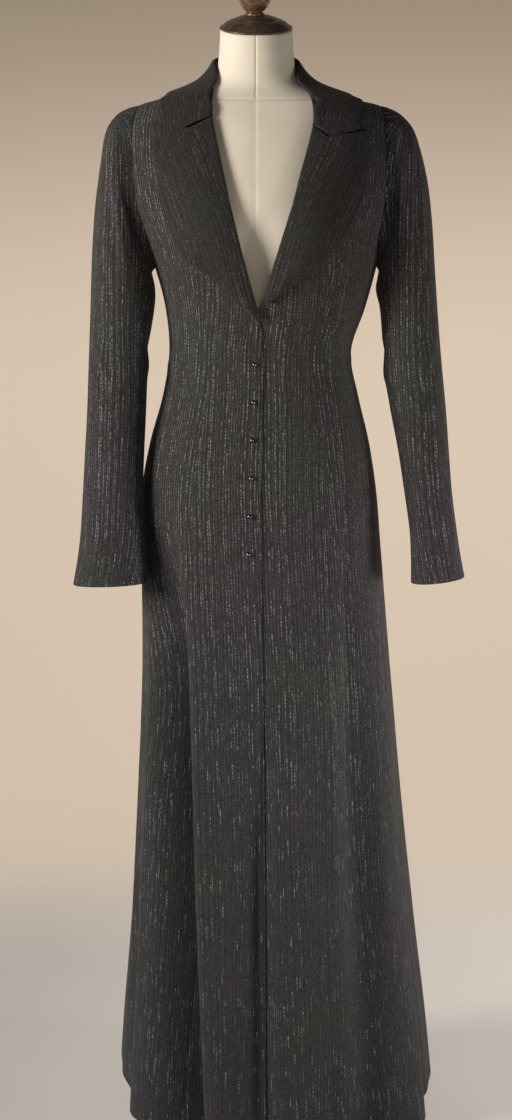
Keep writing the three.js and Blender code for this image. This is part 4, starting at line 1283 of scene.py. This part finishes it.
def armhole_point(side, angle):
    z = ARMHOLE_MIDDLE + ARMHOLE_HALF * np.cos(angle)
    depth = np.where(np.sin(angle) > 0, -ARMHOLE_FRONT, ARMHOLE_BACK)
    turn = turn_at_depth(SIGN[side], depth * np.abs(np.sin(angle)), z)
    return body_point(turn, z) + np.array([SIGN[side] * SEAM_GAP, 0, 0])


def sleeve_point(side, angle, at):
    at = np.broadcast_to(at, angle.shape)
    share = (1 - smooth(0, HEAD_BLEND, at))[..., None]
    kept = armhole_point(side, angle) - sleeve_table_point(side, angle, 0 * at)
    return sleeve_table_point(side, angle, at) + kept * share


def sleeve_grain(side, points):
    """Stripes run straight down a sleeve, also over its head: across is the way round its axis."""
    tube = {column: values[TUBE_FROM:] for column, values in SLEEVE[side].items()}
    wide = (tube["outer_x"] - tube["inner_x"]) * SIGN[side] / 2
    axis = {
        "z": (tube["outer_z"] + tube["inner_z"]) / 2,
        "x": (tube["outer_x"] + tube["inner_x"]) / 2,
        "y": tube["y"],
        "radius": (tube["half"] + wide) / 2,
    }
    height = np.clip(points[..., 2], axis["z"][-1], axis["z"][0])
    away_x = (points[..., 0] - along(axis, "z", "x", height)) * SIGN[side]
    away_y = points[..., 1] - along(axis, "z", "y", height)
    back = np.arctan2(away_y, away_x)
    return back * along(axis, "z", "radius", height), points[..., 2]


def add_sleeve_piece(name, side, from_angle, to_angle, columns):
    last = len(SLEEVE[side]["y"]) - 1
    cuff = last - np.array([0.05, 0.025, 0.012, 0.005, 0])
    rows = np.concatenate([np.linspace(0, last, SLEEVE_ROWS)[:-1], cuff])
    inset = SEAM_GAP / 2 / SLEEVE_RADIUS
    shares = columns_for(np.full(len(rows), SLEEVE_RADIUS * (to_angle - from_angle)), columns)
    angle = lerp(from_angle + inset, to_angle - inset, shares)
    at = np.broadcast_to(rows[:, None], angle.shape)

    def surface(a, b):
        return sleeve_point(side, a, b)

    def place(out):
        lift = SIGN[side] * np.broadcast_to(out, at.shape)
        return offset_point(surface, angle, at, lift, TURN_STEP, SLEEVE_STEP)

    down = edge_distances(place(0))["low"]
    degrees = np.degrees(angle)
    turned = np.where(degrees > 180, degrees - 360, degrees)
    creases = crease_height(SLEEVE_CREASES[side], turned, down, SLEEVE_PER_DEGREE)
    beyond = crease_height(SLEEVE_CREASES[side], degrees, down, SLEEVE_PER_DEGREE)
    creases = creases + beyond * (degrees > 180)

    def grain(points, distance):
        return sleeve_grain(side, points)

    edges = {"left": "seam", "right": "seam", "low": "seam", "high": "turned"}
    return add_cloth(
        f"cloth_{name}", place, WALL, edges, creases, grain, SUITING, SIGN[side])


seam_angle = math.radians(SLEEVE_SEAM)
for side in ("right", "left"):
    add_sleeve_piece(
        f"upper_sleeve_{side}", side, -seam_angle, seam_angle, UPPER_SLEEVE_COLUMNS)
    add_sleeve_piece(
        f"under_sleeve_{side}", side, seam_angle, 2 * math.pi - seam_angle, UNDER_SLEEVE_COLUMNS)


# Lapels lie on the fronts, made from the fronts' own points
def notch_dip(notch, share):
    at, dip = notch
    return dip * np.where(share < at, share / at, (1 - share) / (1 - at))


def add_lapel(side):
    rows = LAPEL[side]
    last = len(rows["roll_z"]) - 1
    ends = np.array([0, 0.01, 0.025, 0.05])
    at = np.concatenate([ends, np.linspace(0.1, last - 0.1, LAPEL_ROWS), last - ends[::-1]])
    roll_z = between(rows, "roll_z", at)
    roll_x = along(FRONT_EDGE[side], "z", "x", roll_z)
    edge_x = between(rows, "edge_x", at)
    edge_z = between(rows, "edge_z", at)
    width = np.hypot(edge_x - roll_x, edge_z - roll_z)
    share = columns_for(width, LAPEL_COLUMNS)
    dip = notch_dip(NOTCH[side], share) * np.clip(at - last + 1, 0, 1)[:, None]
    x = lerp(roll_x[:, None], edge_x[:, None], share)
    z = lerp(roll_z[:, None], edge_z[:, None], share) - dip
    puff = LAPEL_LIFT * lerp(1, LAPEL_TOP_SHARE, smooth(last - LAPEL_TOP_ROWS, last, at))[:, None]
    lift = LAY_GAP + puff * np.sin(math.pi * np.minimum(share * 0.8 + 0.1, 1)) + TURNED_WALL
    if side == "left":
        lift = lift - underlap(x, z)
    turn = turn_at_x(x, z)
    down = edge_distances(body_point(turn, z))["low"]
    creases = crease_height(LAPEL_CREASES, share * width[:, None], down, 1)

    def place(out):
        return coat_point(turn, z, lift + out)

    edges = {"left": "roll", "right": "pressed", "low": "turned", "high": "seam"}
    return add_cloth(
        f"cloth_lapel_{side}", place, TURNED_WALL, edges, creases, unrolled,
        TURNED_SUITING, SIGN[side])


for side in ("right", "left"):
    add_lapel(side)


# Collar fall and stand
def collar_point(at, share, out):
    last = len(COLLAR["tent"]) - 1
    dip = notch_dip(COLLAR_NOTCH["right"], share) * np.clip(1 - at, 0, 1)
    dip = dip + notch_dip(COLLAR_NOTCH["left"], share) * np.clip(at - last + 1, 0, 1)
    fold_turn = np.radians(between(COLLAR, "fold_turn", at))
    edge_turn = np.radians(between(COLLAR, "edge_turn", at))
    fold_z = between(COLLAR, "fold_z", at)
    edge_z = between(COLLAR, "edge_z", at)
    turn = lerp(fold_turn, edge_turn, share)
    z = lerp(fold_z, edge_z, share) - dip
    laid = coat_point(turn, z, COLLAR_LIFT + out)
    fold = coat_point(fold_turn, fold_z, LAY_GAP + out)
    edge = coat_point(edge_turn, edge_z, COLLAR_LIFT + out)
    tent = np.clip(between(COLLAR, "tent", at), 0, 1)[..., None]
    return lerp(laid, lerp(fold, edge, share[..., None]), tent)


def add_collar_fall():
    last = len(COLLAR["tent"]) - 1
    ends = np.array([0, 0.012, 0.03, 0.06])
    rows = np.concatenate([ends, np.linspace(0.1, last - 0.1, COLLAR_ROWS), last - ends[::-1]])
    share = columns_for(np.full(len(rows), float(COLLAR_WIDTH)), COLLAR_COLUMNS)
    at = np.broadcast_to(rows[:, None], share.shape)

    def place(out):
        return collar_point(at, share, TURNED_WALL + np.broadcast_to(out, at.shape))

    edges = {"left": "roll", "right": "turned", "low": "seam", "high": "seam"}
    creases = np.zeros(share.shape)
    return add_cloth(
        "cloth_collar_fall", place, TURNED_WALL, edges, creases, along_edge,
        TURNED_SUITING, -1)


def add_collar_stand():
    turn = np.linspace(STAND_FROM, STAND_TO, STAND_ROWS)
    top = along(COLLAR, "fold_turn", "fold_z", turn) - STAND_BELOW
    share = columns_for(np.full(len(turn), float(STAND_WIDTH)), STAND_COLUMNS)
    z = lerp(STAND_BOTTOM, top[:, None], share)
    turns = np.broadcast_to(np.radians(turn)[:, None], z.shape)

    def place(out):
        return coat_point(turns, z, np.broadcast_to(out, z.shape))

    edges = {"left": "seam", "right": "turned", "low": "turned", "high": "turned"}
    creases = np.zeros(share.shape)
    return add_cloth(
        "cloth_collar_stand", place, WALL, edges, creases, along_edge,
        TURNED_SUITING, -1)


add_collar_fall()
add_collar_stand()


# Turned pieces: a profile of radius and height pairs, spun round an axis
def turned_mesh(profile, steps):
    angle = np.linspace(0, 2 * math.pi, steps, endpoint=False)
    radius, height = np.array(profile, dtype=float).T
    ring = np.stack([np.cos(angle), np.sin(angle)], axis=-1)
    points = np.zeros((len(profile), steps, 3))
    points[..., :2] = radius[:, None, None] * ring
    points[..., 2] = height[:, None]
    index = np.arange(len(profile) * steps).reshape(len(profile), steps)
    around = np.roll(index, -1, axis=1)
    sides = np.stack([index[:-1], around[:-1], around[1:], index[1:]], axis=-1).reshape(-1, 4)
    faces = sides.tolist() + [index[0, ::-1].tolist(), index[-1].tolist()]
    return points.reshape(-1, 3), faces


def arc(radius, middle, start, end, steps):
    angle = np.radians(np.linspace(start, end, steps))
    return list(zip(radius * np.cos(angle), middle + radius * np.sin(angle)))


def aimed(points, direction, seat):
    """Points turned so that their +Z looks along a direction, and set on a seat."""
    turn = Vector((0, 0, 1)).rotation_difference(Vector(direction)).to_matrix()
    return points @ np.array(turn).T + np.asarray(seat)


def add_button(number):
    """A ball button on a short shank, with a flat where the shank enters it."""
    z = np.array([BUTTON_TOP - BUTTON_PITCH * number])
    turn = turn_at_x(np.array([BUTTON_X + BUTTON_DRIFT * number]), z)
    seat = coat_point(turn, z, np.array([LAY_GAP]))[0]
    direction = coat_point(turn, z, np.array([LAY_GAP + 1]))[0] - seat
    radius = BUTTON_RADIUS
    profile = [(BUTTON_SHANK - 0.3, 0), (BUTTON_SHANK, 0.2), (BUTTON_SHANK, BUTTON_FLAT)]
    profile += arc(radius, radius + BUTTON_FLAT, -62, 84, 18)
    points, faces = turned_mesh(profile, BUTTON_STEPS)
    name = f"button_{number + 1}"
    return new_piece(f"ball_{name}", aimed(points, direction, seat), faces, NICKEL, [name])


for number in range(BUTTON_COUNT):
    add_button(number)


# Dress form: the body's own sections inside the coat, with its cover's seams
def form_surface(turn, z):
    row = section(z, FORM_SHOULDER)
    x, y = section_point(row, turn)
    hollow = (z - HOLLOW_Z) / HOLLOW_HEIGHT
    side = (x - row["centre"]) / HOLLOW_WIDTH
    inward = np.where(y < 0, HOLLOW_DEPTH * np.exp(-hollow * hollow - side * side), 0)
    return np.stack([x, y + inward, z + 0 * turn], axis=-1)


def form_seams(points, turn):
    """Depth of the seams: down the centre front and back, and round the base of the neck."""
    along_neck = FORM_SEAM_Z + FORM_SEAM_RISE * (1 - np.cos(turn)) / 2
    from_neck = (points[..., 2] - along_neck) / FORM_SEAM_WIDTH
    from_centre = points[..., 0] / FORM_SEAM_WIDTH
    return FORM_SEAM_DEPTH * np.maximum(np.exp(-from_neck ** 2), np.exp(-from_centre ** 2))


def add_form():
    """The covered torso, its columns close beside the centre seams and its rows at the neck's seam."""
    near = np.array([0.006, 0.013, 0.022, 0.035])
    middle = np.linspace(0.06, math.pi - 0.06, FORM_COLUMNS)
    half = np.concatenate([[0], near, middle, math.pi - near[::-1]])
    turns = np.concatenate([half, half + math.pi])
    heights = np.concatenate([
        np.arange(FORM_BOTTOM, FORM_SEAM_ROWS[0], 8),
        np.arange(*FORM_SEAM_ROWS, 1.5),
        np.linspace(FORM_SEAM_ROWS[1] + 2, FORM_TOP, 16),
    ])
    turn, z = np.meshgrid(turns, heights)
    ease = along(FORM_EASE, "z", "ease", z)
    seams = form_seams(form_surface(turn, z), turn)
    points = offset_point(form_surface, turn, z, -WALL - ease - seams, TURN_STEP, HEIGHT_STEP)
    points[..., 2] = np.where(z < ARMHOLE_UNDER, z, points[..., 2])
    points[..., 2] += NECK_TILT * smooth(NECK_TILT_FROM, FORM_TOP, z) * points[..., 1]
    index = np.arange(points[..., 0].size).reshape(z.shape)
    around = np.roll(index, -1, axis=1)
    sides = np.stack([index[:-1], around[:-1], around[1:], index[1:]], axis=-1).reshape(-1, 4)
    faces = sides.tolist() + [index[0, ::-1].tolist(), index[-1].tolist()]
    return new_piece("covered_torso", points, faces, COVER, ["form_torso"])


add_form()

NECK_SLOPE = math.atan(NECK_TILT)
TILTED = (0, -math.sin(NECK_SLOPE), math.cos(NECK_SLOPE))


def add_cap():
    """The neck cap, with a beaded rim and two turned rings on its slope."""
    profile = [
        (2, 0),
        (CAP_RADIUS - 1.2, 0),
        (CAP_RADIUS - 0.2, 0.5),
        (CAP_RADIUS + 0.5, 1.6),
        (CAP_RADIUS + 0.3, 2.6),
        (CAP_RADIUS - 0.8, CAP_LIP + 0.4),
        (CAP_RADIUS * 0.93, CAP_LIP + CAP_DOME * 0.12),
        (CAP_RADIUS * 0.91, CAP_LIP + CAP_DOME * 0.17),
        (CAP_RADIUS * 0.86, CAP_LIP + CAP_DOME * 0.32),
        (CAP_RADIUS * 0.74, CAP_LIP + CAP_DOME * 0.52),
        (CAP_RADIUS * 0.62, CAP_LIP + CAP_DOME * 0.66),
        (CAP_RADIUS * 0.6, CAP_LIP + CAP_DOME * 0.66),
        (CAP_RADIUS * 0.58, CAP_LIP + CAP_DOME * 0.72),
        (CAP_RADIUS * 0.45, CAP_LIP + CAP_DOME * 0.86),
        (CAP_RADIUS * 0.33, CAP_LIP + CAP_DOME * 0.97),
        (CAP_RADIUS * 0.28, CAP_LIP + CAP_DOME),
        (1, CAP_LIP + CAP_DOME),
    ]
    points, faces = turned_mesh(profile, TURNED_STEPS)
    placed = aimed(points, TILTED, (0, CAP_Y, FORM_TOP + SEAM_GAP))
    return new_piece("turned_cap", placed, faces, CAP_WOOD, ["neck_cap"])


def add_finial():
    """A ball finial on a waisted foot, ending in a small button."""
    profile = [
        (1, 0),
        (FINIAL_NECK - 0.6, 0),
        (FINIAL_NECK, 0.7),
        (FINIAL_NECK, 2.4),
        (FINIAL_NECK - 0.7, 3.2),
        (FINIAL_NECK * 0.8, 4.2),
        (FINIAL_NECK * 0.8, 5),
    ]
    profile += arc(FINIAL_BALL, 5 + FINIAL_BALL * 0.86, -54, 66, 30)
    profile += [
        (FINIAL_TIP, FINIAL_HEIGHT - 3),
        (FINIAL_TIP - 1.1, FINIAL_HEIGHT - 1),
        (FINIAL_TIP - 3.5, FINIAL_HEIGHT + 0.6),
        (1, FINIAL_HEIGHT + 1),
    ]
    points, faces = turned_mesh(profile, TURNED_STEPS)
    rise = CAP_LIP + CAP_DOME + 2 * SEAM_GAP
    seat = (FINIAL_X, CAP_Y - math.sin(NECK_SLOPE) * rise, FORM_TOP + math.cos(NECK_SLOPE) * rise)
    placed = aimed(points, TILTED, seat)
    return new_piece("turned_finial", placed, faces, FINIAL_WOOD, ["finial"])


def add_pole():
    top = FORM_BOTTOM - SEAM_GAP
    collar = top - POLE_COLLAR_HEIGHT
    profile = [
        (1, BASE_HEIGHT + SEAM_GAP),
        (POLE_RADIUS - 0.6, BASE_HEIGHT + SEAM_GAP),
        (POLE_RADIUS, BASE_HEIGHT + 1),
        (POLE_RADIUS, collar - 60),
        (POLE_RADIUS, collar),
        (POLE_COLLAR - 1.5, collar + POLE_COLLAR_HEIGHT * 0.36),
        (POLE_COLLAR, collar + POLE_COLLAR_HEIGHT * 0.42),
        (POLE_COLLAR, top - 1),
        (POLE_COLLAR - 1, top),
        (1, top),
    ]
    points, faces = turned_mesh(profile, TURNED_STEPS)
    return new_piece("enamelled_pole", points, faces, ENAMEL, ["form_pole"])


def add_base():
    """A round base with an eased rim and a raised boss for the pole."""
    profile = [
        (1, 0),
        (BASE_RADIUS - 3, 0),
        (BASE_RADIUS - 0.8, 1.2),
        (BASE_RADIUS, 4),
        (BASE_RADIUS, BASE_EDGE - 4),
        (BASE_RADIUS - 1.4, BASE_EDGE - 1.2),
        (BASE_RADIUS - 5, BASE_EDGE),
        (BASE_RADIUS - 34, BASE_EDGE + 1.6),
        (BASE_BOSS + 12, BASE_EDGE + 6),
        (BASE_BOSS + 5, BASE_EDGE + 9),
        (BASE_BOSS, BASE_HEIGHT - 5),
        (BASE_BOSS - 1, BASE_HEIGHT - 1.2),
        (BASE_BOSS - 4, BASE_HEIGHT),
        (1, BASE_HEIGHT),
    ]
    points, faces = turned_mesh(profile, TURNED_STEPS)
    return new_piece("turned_base", points, faces, BASE_WOOD, ["form_base"])


add_cap()
add_finial()
add_pole()
add_base()

# Floor and wall in one sweep, pale and plain
SWEEP_WIDTH = 9
SWEEP_FRONT = -6
SWEEP_BACK = 2.6
SWEEP_BEND = 1.2
SWEEP_TOP = 4.5


def add_sweep():
    angle = np.linspace(0, math.pi / 2, 24)
    bend_y = SWEEP_BACK - SWEEP_BEND + SWEEP_BEND * np.sin(angle)
    bend_z = SWEEP_BEND - SWEEP_BEND * np.cos(angle)
    line_y = np.concatenate([[SWEEP_FRONT], bend_y, [SWEEP_BACK]])
    line_z = np.concatenate([[0], bend_z, [SWEEP_TOP]])
    half = SWEEP_WIDTH / 2
    points = [(x, y, z) for y, z in zip(line_y, line_z) for x in (-half, half)]
    faces = [(2 * i, 2 * i + 1, 2 * i + 3, 2 * i + 2) for i in range(len(line_y) - 1)]
    mesh = bpy.data.meshes.new("sweep")
    mesh.from_pydata(points, [], faces)
    mesh.materials.append(WALL_GLOW_AND_SHADE)
    smooth_shaded(mesh)
    sweep = bpy.data.objects.new("sweep", mesh)
    bpy.context.collection.objects.link(sweep)


add_sweep()


# Soft light from the viewer's left, a weak low one from the right, and a faint fill from the front
def add_area_light(name, place, aim, size, spread, power, hex_code):
    data = bpy.data.lights.new(name, "AREA")
    data.size = size
    data.spread = math.radians(spread)
    data.energy = power
    data.color = colour(hex_code)[:3]
    light = bpy.data.objects.new(name, data)
    light.location = place
    light.rotation_euler = (Vector(aim) - Vector(place)).to_track_quat("-Z", "Y").to_euler()
    light.visible_camera = False
    bpy.context.collection.objects.link(light)


add_area_light("key", (-3.3, -1.75, 1.75), (0, 0, 1.4), 1.4, 86, 38, "#fff9f2")
add_area_light("low_right", (2.5, -1.1, 0.45), (0.12, 0, 0.56), 0.7, 40, 3.4, "#fff9f4")
add_area_light("fill", (0.3, -4.3, 2.0), (0, 0, 0.7), 2.2, 180, 9.8, "#fffaf5")

world = bpy.data.worlds.new("world")
world.use_nodes = True
world.node_tree.nodes["Background"].inputs["Color"].default_value = colour("#f2efec")
world.node_tree.nodes["Background"].inputs["Strength"].default_value = 0.03
bpy.context.scene.world = world
bpy.context.scene.view_settings.view_transform = "Standard"
